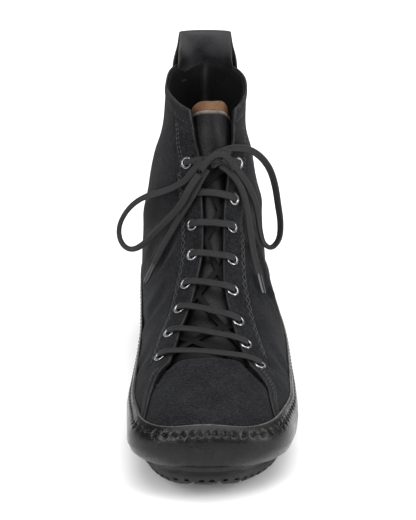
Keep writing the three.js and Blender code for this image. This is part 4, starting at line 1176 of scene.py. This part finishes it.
tops = band_height(stations[:, 1])
level_rows = [np.full(STATIONS, level, float) for level in LEVELS]
level_rows += [tops - drop for drop in DROPS]
inside_rows = [tops - drop for drop in INSIDE_DROPS]
grid = np.stack([beside(row) for row in level_rows + inside_rows])
run = np.roll(grid, -1, 1) - np.roll(grid, 1, 1)
climb = np.gradient(grid, axis=0)
faceward = unit(np.cross(run, climb))
faceward *= np.sign((faceward * outward).sum(-1, keepdims=True))
count = len(level_rows)
print(len(grid), "rows of", STATIONS, "stations")

# %% [markdown]
# The leather is drawn round the toe over a stiffener, so it stands fuller there, most at its two corners. A
# few millimetres below the top edge a shallow channel runs round, and the awl has pressed a hole at every
# stitch. The cut edge is rubbed pale, most at the front and on the outer side. Underneath, the band is closed
# inside the sole's top edge.

# %% Make the band
STITCH_DROP, STITCH_PITCH = 3.8, 4.8
CHANNEL_WIDTH, CHANNEL_DEPTH = 0.95, 0.12
HOLE_DEPTH, HOLE_RADIUS = 1.5, 0.85
TOE_FULLNESS, CORNER_FULLNESS = 1.2, 2.6
CORNER_PLACE, CORNER_REACH = 24.0, 18.0
swell = slow_waves(grid, 0.25)
offsets = np.full(grid.shape[:2], GAP + BAND_THICKNESS) + np.clip(swell, -0.2, 0.3)
toe = 1 - smooth(grid[..., 1], 30.0, 95.0)
corner = bell(grid[..., 1] - CORNER_PLACE, CORNER_REACH)
level = np.clip((grid[..., 2] - footbed(grid[..., 1])) / tops, 0, 1)
fullness = (TOE_FULLNESS * toe + CORNER_FULLNESS * corner) * np.sin(np.pi * (0.12 + 0.7 * level))
offsets[:count] += fullness[:count]
channel = bell(np.array(DROPS) - STITCH_DROP, CHANNEL_WIDTH)[:, None]
holes = girth / round(girth / STITCH_PITCH)
hole_relief = HOLE_DEPTH * bell(from_middle(holes), HOLE_RADIUS)
offsets[len(LEVELS):count] -= channel * (CHANNEL_DEPTH + hole_relief)
offsets[count - 1] -= 0.45
offsets[count - 2] -= 0.1
offsets[count] = GAP + 1.0 + fullness[count]
offsets[count + 1:] = GAP
band = grid + faceward * offsets[..., None]

# %% Rub its edge and close it underneath
UNRUBBED, UNDER_INSET = 0.12, 1.6
at_front = smooth(stations[:, 0] - 0.9 * stations[:, 1], -75.0, -25.0)
at_side = (stations[:, 0] > 0) * smooth(stations[:, 1], 20.0, 60.0)
rubbed = np.clip(mix(UNRUBBED, 1.0, at_front + at_side), 0, 1)
wear = np.zeros((len(band) + 1, STATIONS))
for row, share in ((count, 0.6), (count + 1, 1.0), (count + 2, 0.5)):
    wear[row] = share * rubbed
under = band[0] - faceward[0] * UNDER_INSET
band_rings = np.concatenate([under[None], band])
add_rings("leather_band", band_rings, LEATHER, ["rand"], wear, sharp=48)

# %% [markdown]
# ## Stitches
# A stitch is a short length of thread that dips into the material at both ends. One function lays them along
# any line on a surface, and a whole seam is joined to one mesh.

# %% Stitch maker
THREAD_SIDES, THREAD_RADIUS = 6, 0.3


def stitch_parts(line, normals, length, pitch, radius, sink=0.1, first=0.5):
    """Short threads along a line of points, `length` of every `pitch` millimetres."""
    walked = walk(line)
    section = radius * circle(THREAD_SIDES)
    parts = []
    for start in np.arange(first, walked[-1] - length, pitch):
        at = start + np.linspace(0, length, 6)
        path = np.stack([np.interp(at, walked, line[:, k]) for k in range(3)], -1)
        normal = unit(np.stack([np.interp(at, walked, normals[:, k]) for k in range(3)], -1))
        bow = np.array([-1.1, 0.35, 0.7, 0.7, 0.35, -1.1])[:, None] * radius
        path = path + normal * (bow - sink)
        across = np.cross(np.gradient(path, axis=0), normal)
        parts.append(sweep(path, across, section))
    return parts


def add_stitches(name, parts, node_name, material=THREAD):
    points, faces, fields = join(parts)
    return add_piece(name, points, faces, material, [node_name], sharp=60)


print("a stitch has", THREAD_SIDES, "sides")

# %% [markdown]
# The band's stitches are long and black. Each runs from hole to hole in the channel and stops a little short
# of both holes, so the holes stay dark between them.

# %% Sew the band
HOLE_MARGIN = 1.3
row = len(LEVELS) + DROPS.index(STITCH_DROP)
shallow = band[row] + faceward[row] * hole_relief[:, None]
loop = np.concatenate([shallow, shallow[:2]])
loop_normals = np.concatenate([faceward[row], faceward[row][:2]])
length, first = holes - HOLE_MARGIN, (holes + HOLE_MARGIN) / 2
stitches = stitch_parts(loop, loop_normals, length, holes, 0.36, first=first)
add_stitches("band_stitches", stitches, "rand", RUBBER)

# %% [markdown]
# The quarters are sewn with a thinner grey thread. Two plain rows run beside the top eyelets. Below them a
# ladder of crossed threads holds the facing's edge. Two rows follow the front edge over the toe panel, one
# runs below the collar and one on each side of the heel seam.

# %% Lines and threads of the quarters' seams
def upper_line(along, around, side, lift=0.0):
    return on_last(along, around, upper_offset(along, around, side) + lift)


def seam_parts(along, around, side, length, pitch):
    """Stitches along a line of places on a quarter."""
    line = upper_line(along, around, side)
    return stitch_parts(line, last_normal(along, around), length, pitch, THREAD_RADIUS)


def ladder_around(along, side, gap):
    """`around` at a distance from the facing's outer edge."""
    width = np.interp(along, FACING_WIDTH[:, 0], FACING_WIDTH[:, 1]) + gap
    start = edge_around(along, side)
    sign = SIDES[side]
    return sign * solve(start, start + 0.45, lambda v: facing_distance(along, sign * v, side) < width)


def thread_between(a, b, normal, radius):
    """One thread that comes up at a, lies over the cloth and goes down at b."""
    bow = np.array([-1.2, 0.5, 0.9, 0.9, 0.5, -1.2])[:, None] * radius
    path = mix(a, b, np.linspace(0, 1, 6)[:, None]) + normal * bow
    return sweep(path, np.cross(np.gradient(path, axis=0), normal), radius * circle(THREAD_SIDES))


print("the quarters' thread is", 2 * THREAD_RADIUS, "mm thick")

# %% Sew the quarters
LADDER_STEPS, LADDER_STRIDE = 60, 2
plain = np.linspace(0.775, 0.93, 24)
crossed = np.linspace(0.405, 0.77, LADDER_STEPS)
front = np.linspace(0.2, 0.372, 24)
behind = np.linspace(0.735, 0.9, 40)
parts = []
for side, sign in SIDES.items():
    for gap in (-2.6, -0.8):
        parts += seam_parts(plain, ladder_around(plain, side, gap), side, 1.9, 3.0)
    rungs = []
    for gap in (-1.2, 2.6):
        around = ladder_around(crossed, side, gap)
        rungs.append(upper_line(crossed, around, side, 0.1))
    for i in range(0, LADDER_STEPS - LADDER_STRIDE, LADDER_STRIDE):
        normal = last_normal(crossed[i], around[i])
        for a, b in (rungs, rungs[::-1]):
            parts.append(thread_between(a[i], b[i + LADDER_STRIDE], normal, THREAD_RADIUS))
    for inset in (0.022, 0.036):
        parts += seam_parts(front, sign * (edge_around(front, side) + inset), side, 1.9, 2.8)
    around = sign * np.linspace(edge_around(0.93, side) + 0.02, 0.985, 60)
    parts += seam_parts(collar_along(around, 8.5), around, side, 2.0, 3.0)
    parts += seam_parts(behind, np.full_like(behind, 0.965 * sign), side, 2.0, 3.0)
add_stitches("upper_stitches", parts, "upper")

# %% [markdown]
# ## Pull loop
# A wide leather strap stands up at the back of the collar, sewn outside and inside. Its middle line is given
# in the CAD source as distances out from the last and up from the collar. The heel's surface is looked up at
# each place of the strap, and the strap leaves it towards its top, where it is flatter than the heel.

# %% The strap's middle line and the heel behind it
LOOP_RISE, LOOP_TOP_WIDTH, LOOP_BASE_WIDTH, LOOP_THICKNESS = 21.0, 33.0, 38.0, 1.6
LOOP_BACK_LEG, LOOP_INNER_LEG, LOOP_FLATNESS = 24.0, 12.0, 0.6
LEG_OUT = QUARTER_STEP + GAP + LOOP_THICKNESS / 2
LEG_IN = -0.9
LOOP_PATH = [
    [LEG_OUT, -LOOP_BACK_LEG], [LEG_OUT, -12], [LEG_OUT, 0], [LEG_OUT + 0.9, 8], [LEG_OUT + 0.7, 15],
    [LEG_OUT - 0.3, 19], [0.4, LOOP_RISE - LOOP_THICKNESS / 2], [-1.9, 18.8], [-3.2, 13], [-2.9, 6],
    [LEG_IN - 0.6, 0.5], [LEG_IN, -3], [LEG_IN, -LOOP_INNER_LEG],
]
LOOP_ROWS, LOOP_COLUMNS = 90, 33


def back_point(x, z):
    """The last's surface behind the heel at a sideways place and height, and its level normal."""
    sign = np.where(x < 0, -1.0, 1.0)

    def along_for(v):
        return solve(np.full_like(x, 0.7), np.ones_like(x), lambda a: last(a, sign * v)[..., 2] < z)

    def nearer(v):
        return np.abs(last(along_for(v), sign * v)[..., 0]) < np.abs(x)

    near = solve(np.ones_like(x), np.full_like(x, 0.5), nearer)
    along = along_for(near)
    normal = last_normal(along, sign * near)
    normal[..., 2] = 0
    return last(along, sign * near), unit(normal)


print("the strap's line has", len(LOOP_PATH), "points")

# %% Make the pull loop
EDGE_THINNING = 0.35
collar_top = HEEL + INSTEP_HEIGHT + SHAFT_HEIGHT
middle_line = curve_through(LOOP_PATH, LOOP_ROWS)
up = middle_line[:, 1][:, None]
share = np.linspace(-1, 1, LOOP_COLUMNS)[None, :]
width = mix(LOOP_BASE_WIDTH, LOOP_TOP_WIDTH, smooth(up, 0, LOOP_RISE))
x = share * width / 2
base, normal = back_point(x, collar_top + np.minimum(up, 0) + 0 * x)
middle_y = back_point(np.array([0.0]), np.array([collar_top]))[0][0, 1]
flat = smooth(up, -4, 0.6 * LOOP_RISE)
base[..., 1] = mix(base[..., 1], middle_y, LOOP_FLATNESS * smooth(up, 0, LOOP_RISE))
normal = unit(mix(normal, np.array([0.0, 1.0, 0.0]), 0.85 * flat[..., None]))
across = np.gradient(middle_line, axis=0)
across = unit(np.stack([across[:, 1], -across[:, 0]], -1))
faces_of = []
for half in (0.5, -0.5):
    thin = 1 - EDGE_THINNING * (np.abs(share) > 0.97)
    out = middle_line[:, :1] + half * LOOP_THICKNESS * across[:, :1] * thin
    rise = middle_line[:, 1:] + half * LOOP_THICKNESS * across[:, 1:] * thin
    sheet = base + normal * out[..., None]
    sheet[..., 2] = collar_top + rise
    faces_of.append(sheet)
points, faces = thick_sheet(faces_of[0], faces_of[1])
strap_wear = sheet_fields(LOOP_ROWS, LOOP_COLUMNS, 0.6, 0.5, 0.0)
add_piece("pull_strap", points, faces, STRAP, ["pull_loop"], strap_wear, sharp=45)

# %% Sew the strap down
STRAP_STITCH = (2.2, 3.2, 0.32)
outer, parts = faces_of[0], []
leg = slice(2, 24)
for inset in (0.07, 0.93):
    column = int(inset * (LOOP_COLUMNS - 1))
    parts += stitch_parts(outer[leg, column], normal[leg, column], *STRAP_STITCH)
for row in (3, 5, 22):
    parts += stitch_parts(outer[row, 2:-2], normal[row, 2:-2], *STRAP_STITCH)
add_stitches("pull_strap_stitches", parts, "pull_loop")

# %% [markdown]
# ## Sole
# The sole's side leans in towards the floor. It has a rib over a groove below its top ledge, a row of small
# notches halfway down, a bevel at the floor and short lugs cut in from the edge.

# %% The sole's side
WELT_LEDGE, SOLE_DRAFT, LUG_DEPTH, LUG_PITCH, LUG_REACH, LUG_GROOVE = 1.6, 4.0, 2.6, 18.0, 9.0, 3.2
NOTCH_PITCH, NOTCH_WIDTH, NOTCH_DEPTH = 8.2, 2.8, 1.3
SOLE_OUT = GAP + BAND_THICKNESS + WELT_LEDGE
SOLE_SIDE = [
    # drop below the footbed, inset
    (-0.3, 4.6), (0.1, 1.6), (0.15, 0.8), (0.5, 0.2), (1.0, 0.0), (2.8, 0.05),
    (3.2, 0.3), (3.6, 0.85), (4.6, 0.95), (5.1, 0.75), (5.5, 0.45), (6.2, 0.42),
]
SIDE_SHARES = [0.25, 0.46, 0.52, 0.66, 0.74, 0.8, 0.93, 0.98, 1.0]
CUT_SLOPE = 0.4


def cut_mask(pitch, width):
    """1 in a cut that repeats round the sole, 0 beside it, with a short slope between."""
    return 1 - smooth(from_middle(pitch), width / 2 - CUT_SLOPE, width / 2 + CUT_SLOPE)


sole_line = stations + outward * SOLE_OUT
lug_mask = cut_mask(LUG_PITCH, LUG_GROOVE)
notch_mask = NOTCH_DEPTH * cut_mask(NOTCH_PITCH, NOTCH_WIDTH)
y = np.clip(sole_line[:, 1], 0, LENGTH)
rings = []
for drop, inset in SOLE_SIDE:
    ring = sole_line - outward * inset
    ring[:, 2] = footbed(y) - drop
    rings.append(ring)
top, bottom_edge = footbed(y) - SOLE_SIDE[-1][0], sole_bottom(y)
for share in SIDE_SHARES:
    bevel = 0.5 if share == 1.0 else 0.0
    notch = notch_mask if 0.5 < share < 0.75 else 0 * notch_mask
    cut = np.maximum(1.6 * lug_mask * (share > 0.75), notch)
    ring = sole_line - outward * (mix(0.42, SOLE_DRAFT, share ** 1.3) + bevel + cut)[:, None]
    ring[:, 2] = mix(top, bottom_edge, share)
    rings.append(ring)
print(len(rings), "rows down the side")

# %% [markdown]
# The bottom is a fine sheet of spokes from the edge to a middle line. The edge lugs, the cross grooves of the
# tread and a fine slanting pattern are pressed into it by a function of place.

# %% The tread
TREAD = [(0.12, 0.42, 3), (0.78, 0.94, 2)]  # start and end as shares of the length, number of cross grooves
FINE_PITCH, FINE_SLANT, FINE_DEPTH = 6.0, 0.4, 0.35
centre_y = np.clip(sole_line[:, 1], 45.0, 250.0)
in_order = sole_line[np.argsort(sole_line[:, 1])]
medial, lateral = in_order[in_order[:, 0] < 0], in_order[in_order[:, 0] > 0]
edges = [np.interp(centre_y, half[:, 1], half[:, 0]) for half in (medial, lateral)]
spine = np.stack([(edges[0] + edges[1]) / 2, centre_y, 0 * centre_y], -1)


def tread_depth(ring, reach):
    """How deep the tread is, as a share of a lug's depth, `reach` millimetres in from the edge."""
    depth = lug_mask * (1 - smooth(reach, LUG_REACH - 0.8, LUG_REACH + 0.4))
    for start, end, number in TREAD:
        for centre in np.linspace(start, end, number) * LENGTH:
            gap = np.abs(ring[:, 1] - centre)
            depth = np.maximum(depth, (1 - smooth(gap, 1.2, 2.0)) * smooth(reach, 10.0, 11.0))
    slanted = (ring[:, 1] + FINE_SLANT * np.abs(ring[:, 0])) / FINE_PITCH
    fine_groove = 1 - smooth(np.abs(slanted % 1 - 0.5) * FINE_PITCH, 0.5, 0.9)
    return np.maximum(depth, FINE_DEPTH * fine_groove * smooth(reach, 10.5, 11.5))


edge_ring = rings[-1]
for step in np.concatenate([np.linspace(0.02, 0.3, 14), np.linspace(0.33, 1.0, 26)]):
    ring = mix(edge_ring, spine, step)
    reach = np.linalg.norm((ring - edge_ring)[:, :2], axis=-1)
    ring[:, 2] = sole_bottom(np.clip(ring[:, 1], 0, LENGTH)) + LUG_DEPTH * tread_depth(ring, reach)
    rings.append(ring)
inner_top = mix(rings[0], np.concatenate([spine[:, :2], rings[0][:, 2:]], -1), 0.25)
rings = np.stack([inner_top] + rings)
side_rows = len(SOLE_SIDE) + len(SIDE_SHARES)
sole_wear = np.zeros(rings.shape[:2])
sole_wear[5:7] = 0.25
sole_wear[side_rows - 1:side_rows + 2] = 0.35
add_rings("sole", rings, RUBBER, ["outsole"], sole_wear, sharp=40)

# %% [markdown]
# ## Insole
# Inside lies a thin insole, cupped a little at its edge. It shows only from above, through the collar.

# %% Make the insole
INSOLE_LOW, INSOLE_TOP, INSOLE_CUP, INSOLE_INSET = 0.3, 3.4, 1.6, 2.4
insole_edge = beside(np.full(STATIONS, 3.0)) - outward * INSOLE_INSET


def insole_ring(step, lift):
    """A ring between the edge and the middle line, at a height over the footbed."""
    ring = mix(insole_edge, spine, step)
    ring[:, 2] = footbed(np.clip(ring[:, 1], 0, LENGTH)) + GAP + lift
    return ring


rings = [insole_ring(0, INSOLE_LOW)]
for step in np.linspace(0, 1, 24):
    rings.append(insole_ring(step, INSOLE_TOP + INSOLE_CUP * (1 - smooth(step, 0, 0.25))))
add_rings("insole_sheet", np.stack(rings), TAN, ["insole"])

# %% [markdown]
# ## Eyelets
# An eyelet is a short metal tube whose upper end is rolled out to a ring. It is a lathe shape: a profile of
# radius and height turned about the hole's axis and stood on the facing.

# %% Make the eyelets
EYELET_PROFILE = [
    # radius, height over the cloth
    (2.2, -3.4), (2.5, -3.4), (2.55, -3.2), (2.6, -0.1), (3.3, -0.12), (3.75, -0.1), (3.98, 0.08),
    (4.0, 0.25), (3.85, 0.5), (3.5, 0.68), (3.1, 0.72), (2.65, 0.6), (2.35, 0.3), (2.22, -0.2),
]
EYELET_SIDES = 40


def eyelet_frame(row, side):
    along, around = place_of(row, side)
    normal = last_normal(along, around)
    centre = on_last(along, around, QUARTER_STEP)
    across = unit(np.cross(normal, np.array([1.0, 0.0, 0.0])))
    return centre, normal, across, np.cross(normal, across)


for row in range(len(EYELETS)):
    for side in SIDES:
        centre, normal, across, other = eyelet_frame(row, side)
        ring = circle(EYELET_SIDES) @ np.stack([across, other])
        rings = np.stack([centre + r * ring + h * normal for r, h in EYELET_PROFILE + EYELET_PROFILE[:1]])
        number = "_%s_%d" % (side, row + 1)
        add_rings("ring" + number, rings, METAL, ["eyelet" + number], sharp=60)

# %% [markdown]
# ## Lacing
# The shoe is laced straight: on the outside seven bars cross from eyelet to eyelet, and inside, one end of
# the lace climbs on the even rows and the other on the odd rows, slanting across the tongue. A bar comes up
# through its eyelet bunched to fit the hole, spreads flat, and goes down through the other one.

# %% A bar outside
BAR_STEPS = 60
BAR_END, BAR_SAG = 3.45, 1.8
BAR_SHOULDER = (2.25, -1.0)  # where the lace spreads flat again beside its eyelet, as in the next table
BAR_LEGS = [
    # height over the cloth, how far back from the eyelet's middle, share of the width
    (-4.2, 0.3, 0.72), (-1.5, 0.5, 0.74), (0.6, 0.5, 0.8), (1.75, 0.2, 0.9),
]


def bar(row):
    """A bar of the lace outside, with its two ends down in the eyelets."""
    a, b = place_of(row, "medial"), place_of(row, "lateral")
    line = []
    for t in np.linspace(0, 1, 13):
        rise = mix(BAR_END, BAR_END - BAR_SAG, smooth(math.sin(math.pi * t), 0.35, 1))
        line.append((on_last(*mix(a, b, t), rise), 1.0))
    for which, side in ((0, "medial"), (-1, "lateral")):
        centre, normal, _, _ = eyelet_frame(row, side)
        inwards = unit(line[6][0] - line[which][0])
        line[which] = (centre + BAR_SHOULDER[0] * normal - BAR_SHOULDER[1] * inwards, 1.0)
        legs = [(centre + up * normal - back * inwards, width) for up, back, width in BAR_LEGS]
        line = legs + line if which == 0 else line + legs[::-1]
    path = curve_through([np.append(place, width) for place, width in line], BAR_STEPS)
    middle_tangent = unit(line[-5][0] - line[4][0])
    axis = np.tile(np.cross(last_normal(*mix(a, b, 0.5)), middle_tangent), (BAR_STEPS, 1))
    return sweep(path[:, :3], axis, lace_section(), path[:, 3])


parts = [bar(row) for row in range(len(EYELETS) - 1)]
print(len(parts), "bars")

# %% [markdown]
# Inside, the runs lie flat on the tongue. Each slants from one side to the next row but one on the other, and
# the first and the last go up by a single row. They are a piece of their own, in a lace darkened as painted
# shade.

# %% The slanting runs inside
UNDER_LEVEL, UNDER_BOW = -3.25, 0.35
UNDER_WIDTH, UNDER_THICKNESS = 3.9, 1.1


def hidden_run(start, end):
    """A run of lace over the tongue from one eyelet to another."""
    t = np.linspace(0, 1, 24)[:, None]
    along, around = mix(place_of(*start), place_of(*end), t).T
    path = on_last(along, around, UNDER_LEVEL + UNDER_BOW * np.sin(np.pi * t[:, 0]))
    axis = np.cross(last_normal(along, around), np.gradient(path, axis=0))
    return sweep(path, axis, lace_section(UNDER_WIDTH, UNDER_THICKNESS))


slants = [((0, "lateral"), (1, "medial"))]
for row in range(6):
    a, b = ("medial", "lateral") if row % 2 == 0 else ("lateral", "medial")
    slants.append(((row, a), (row + 2, b)))
slants.append(((6, "medial"), (7, "lateral")))
points, faces, fields = join([hidden_run(*ends) for ends in slants])
# the darker lace paints the shade that falls on the runs over the tongue
add_piece("lace_slants", points, faces, LACE_PAINTED_SHADE, ["lace_crossings"], fields, sharp=70)

# %% [markdown]
# From each top eyelet the lace comes up and runs to the knot. These two runs are joined with the bars to one
# piece.

# %% The top runs
KNOT_PLACE, KNOT_LIFT, KNOT_ENTRY = (0.785, 0.02), 5.4, 0.6
RUN_STEPS = 36
for side in SIDES:
    a = place_of(7, side)
    centre, normal, _, _ = eyelet_frame(7, side)
    goal = on_last(*KNOT_PLACE, KNOT_LIFT - KNOT_ENTRY)
    towards = unit(goal - centre)
    route = []
    for up, forward in ((-4.2, 0.0), (-1.5, -0.4), (0.6, -0.4), (2.2, 0.9)):
        route.append(centre + up * normal + forward * towards)
    for t in (0.4, 0.65, 0.85):
        route.append(on_last(*mix(a, np.array(KNOT_PLACE), t), mix(BAR_END, KNOT_LIFT, t)))
    path = curve_through(route + [goal], RUN_STEPS)
    axis = np.tile(np.cross(last_normal(*a), towards), (RUN_STEPS, 1))
    widths = np.interp(np.arange(RUN_STEPS), [0, 12, 18], [0.72, 0.8, 1.0])
    parts.append(sweep(path, axis, lace_section(), widths))
points, faces, fields = join(parts)
add_piece("lace_bars", points, faces, LACE, ["lace_crossings"], fields, sharp=70)

# %% [markdown]
# ## Knot
# The knot is the lace wrapped round itself, and it is loose: one strand arches over a hollow from the left
# loop to the right end, and the others cross behind it. Each strand is a ribbon of the same flat lace.

# %% Make the knot
knot_centre = on_last(*KNOT_PLACE, KNOT_LIFT)
knot_out = last_normal(*KNOT_PLACE)
knot_side = np.array([1.0, 0.0, 0.0])
knot_side = unit(knot_side - knot_side @ knot_out * knot_out)
knot_up = np.cross(knot_out, knot_side)
knot_up *= np.sign(knot_up[2])
knot_axes = np.stack([knot_side, knot_up, knot_out])
KNOT_WIDTH, KNOT_THICKNESS = 4.2, 1.7
KNOT_STRANDS = [
    # sideways, up and out from the middle, in mm; the first strand arches over a hollow
    [(-10, -7, 0.2), (-7.6, -2.6, 1.8), (-3.8, 1.4, 2.9), (0.5, 3.2, 3.2), (4.8, 2.4, 3.0), (8.4, -1.2, 2.2),
     (11, -6, 0.8)],
    [(-4.5, 0.5, -0.6), (-1, 3.6, 0.6), (3.5, 5.4, 1.2), (8.5, 4.6, 0.8)],
    [(-8.5, -2.5, -1.2), (-4, -0.6, 0.2), (1, -0.2, 0.8), (5.5, -1.6, 0.2), (9, -3.6, -1.0)],
    [(-3.5, -3.5, -1.6), (0, -2.2, -0.4), (3.6, 0.6, 0.2), (7, 3.2, -0.6)],
]
parts = []
for strand in KNOT_STRANDS:
    path = curve_through(knot_centre + np.array(strand) @ knot_axes, 28)
    axis = np.cross(np.gradient(path, axis=0), knot_out)
    parts.append(sweep(path, axis, lace_section(KNOT_WIDTH, KNOT_THICKNESS)))
points, faces, fields = join(parts)
add_piece("bow_knot", points, faces, LACE, ["lace_knot"], fields, sharp=70)

# %% [markdown]
# ## Floor and light
# The photograph is a product picture on white. The floor is white paper, so it throws light back on the sole.

# %% Floor
FLOOR_SIZE = 6.0
floor_mesh = bpy.data.meshes.new("floor")
half = FLOOR_SIZE / 2
corners = [(-half, -half, 0), (half, -half, 0), (half, half, 0), (-half, half, 0)]
floor_mesh.from_pydata(corners, [], [(0, 1, 2, 3)])
floor = bpy.data.objects.new("floor", floor_mesh)
bpy.context.scene.collection.objects.link(floor)
floor.location.z = -0.0002
white = bpy.data.materials.new("white paper")
white.use_nodes = True
paper = white.node_tree.nodes["Principled BSDF"]
paper.inputs["Base Color"].default_value = (0.95, 0.95, 0.95, 1.0)
paper.inputs["Roughness"].default_value = 0.9
floor_mesh.materials.append(white)
print("floor", FLOOR_SIZE, "m wide")

# %% [markdown]
# A broad box of light hangs above and a little in front, a softer one stands on each side, and a rim light
# from behind shows the glossy band's edges. A wide soft sun, named ceiling, lights the whole floor evenly, so
# that the paper stays white at low views too.

# %% Lights
CEILING_POWER, CEILING_ANGLE = 1.9, math.radians(75.0)


def add_light(name, place, size, power, aim=(0.0, 0.0, 0.08)):
    data = bpy.data.lights.new(name, "AREA")
    data.shape = "RECTANGLE"
    data.size, data.size_y = size
    data.energy = power
    light = bpy.data.objects.new(name, data)
    bpy.context.scene.collection.objects.link(light)
    light.location = place
    light.rotation_euler = (Vector(place) - Vector(aim)).to_track_quat("Z", "Y").to_euler()


add_light("top box", (0.1, -0.3, 1.5), (1.4, 1.2), 10.0)
ceiling = bpy.data.objects.new("ceiling", bpy.data.lights.new("ceiling", "SUN"))
ceiling.data.energy = CEILING_POWER
ceiling.data.angle = CEILING_ANGLE
ceiling.rotation_euler = (math.radians(12.0), math.radians(6.0), 0.0)
bpy.context.scene.collection.objects.link(ceiling)
add_light("front left", (-0.9, -1.2, 0.9), (0.5, 0.9), 15.0)
add_light("front right", (1.2, -0.7, 0.6), (0.4, 0.9), 12.0)
add_light("rim", (0.2, 1.4, 0.9), (1.6, 0.7), 5.0)
print(len(bpy.data.lights), "lights")

# %% [markdown]
# The world is white to the camera, as the backdrop is, but dim as a light, or the black leather would look
# grey.

# %% World
AMBIENT, BACKDROP = 0.36, 1.0
world = bpy.data.worlds.new("studio")
world.use_nodes = True
sky, background = world.node_tree, world.node_tree.nodes["Background"]
background.inputs["Color"].default_value = (1.0, 1.0, 1.0, 1.0)
camera_ray = node(sky, "LightPath").outputs["Is Camera Ray"]
strength = node(sky, "MapRange", {"Value": camera_ray, "To Min": AMBIENT, "To Max": BACKDROP})
sky.links.new(strength.outputs["Result"], background.inputs["Strength"])
bpy.context.scene.world = world
print("backdrop", BACKDROP, "and ambient light", AMBIENT)
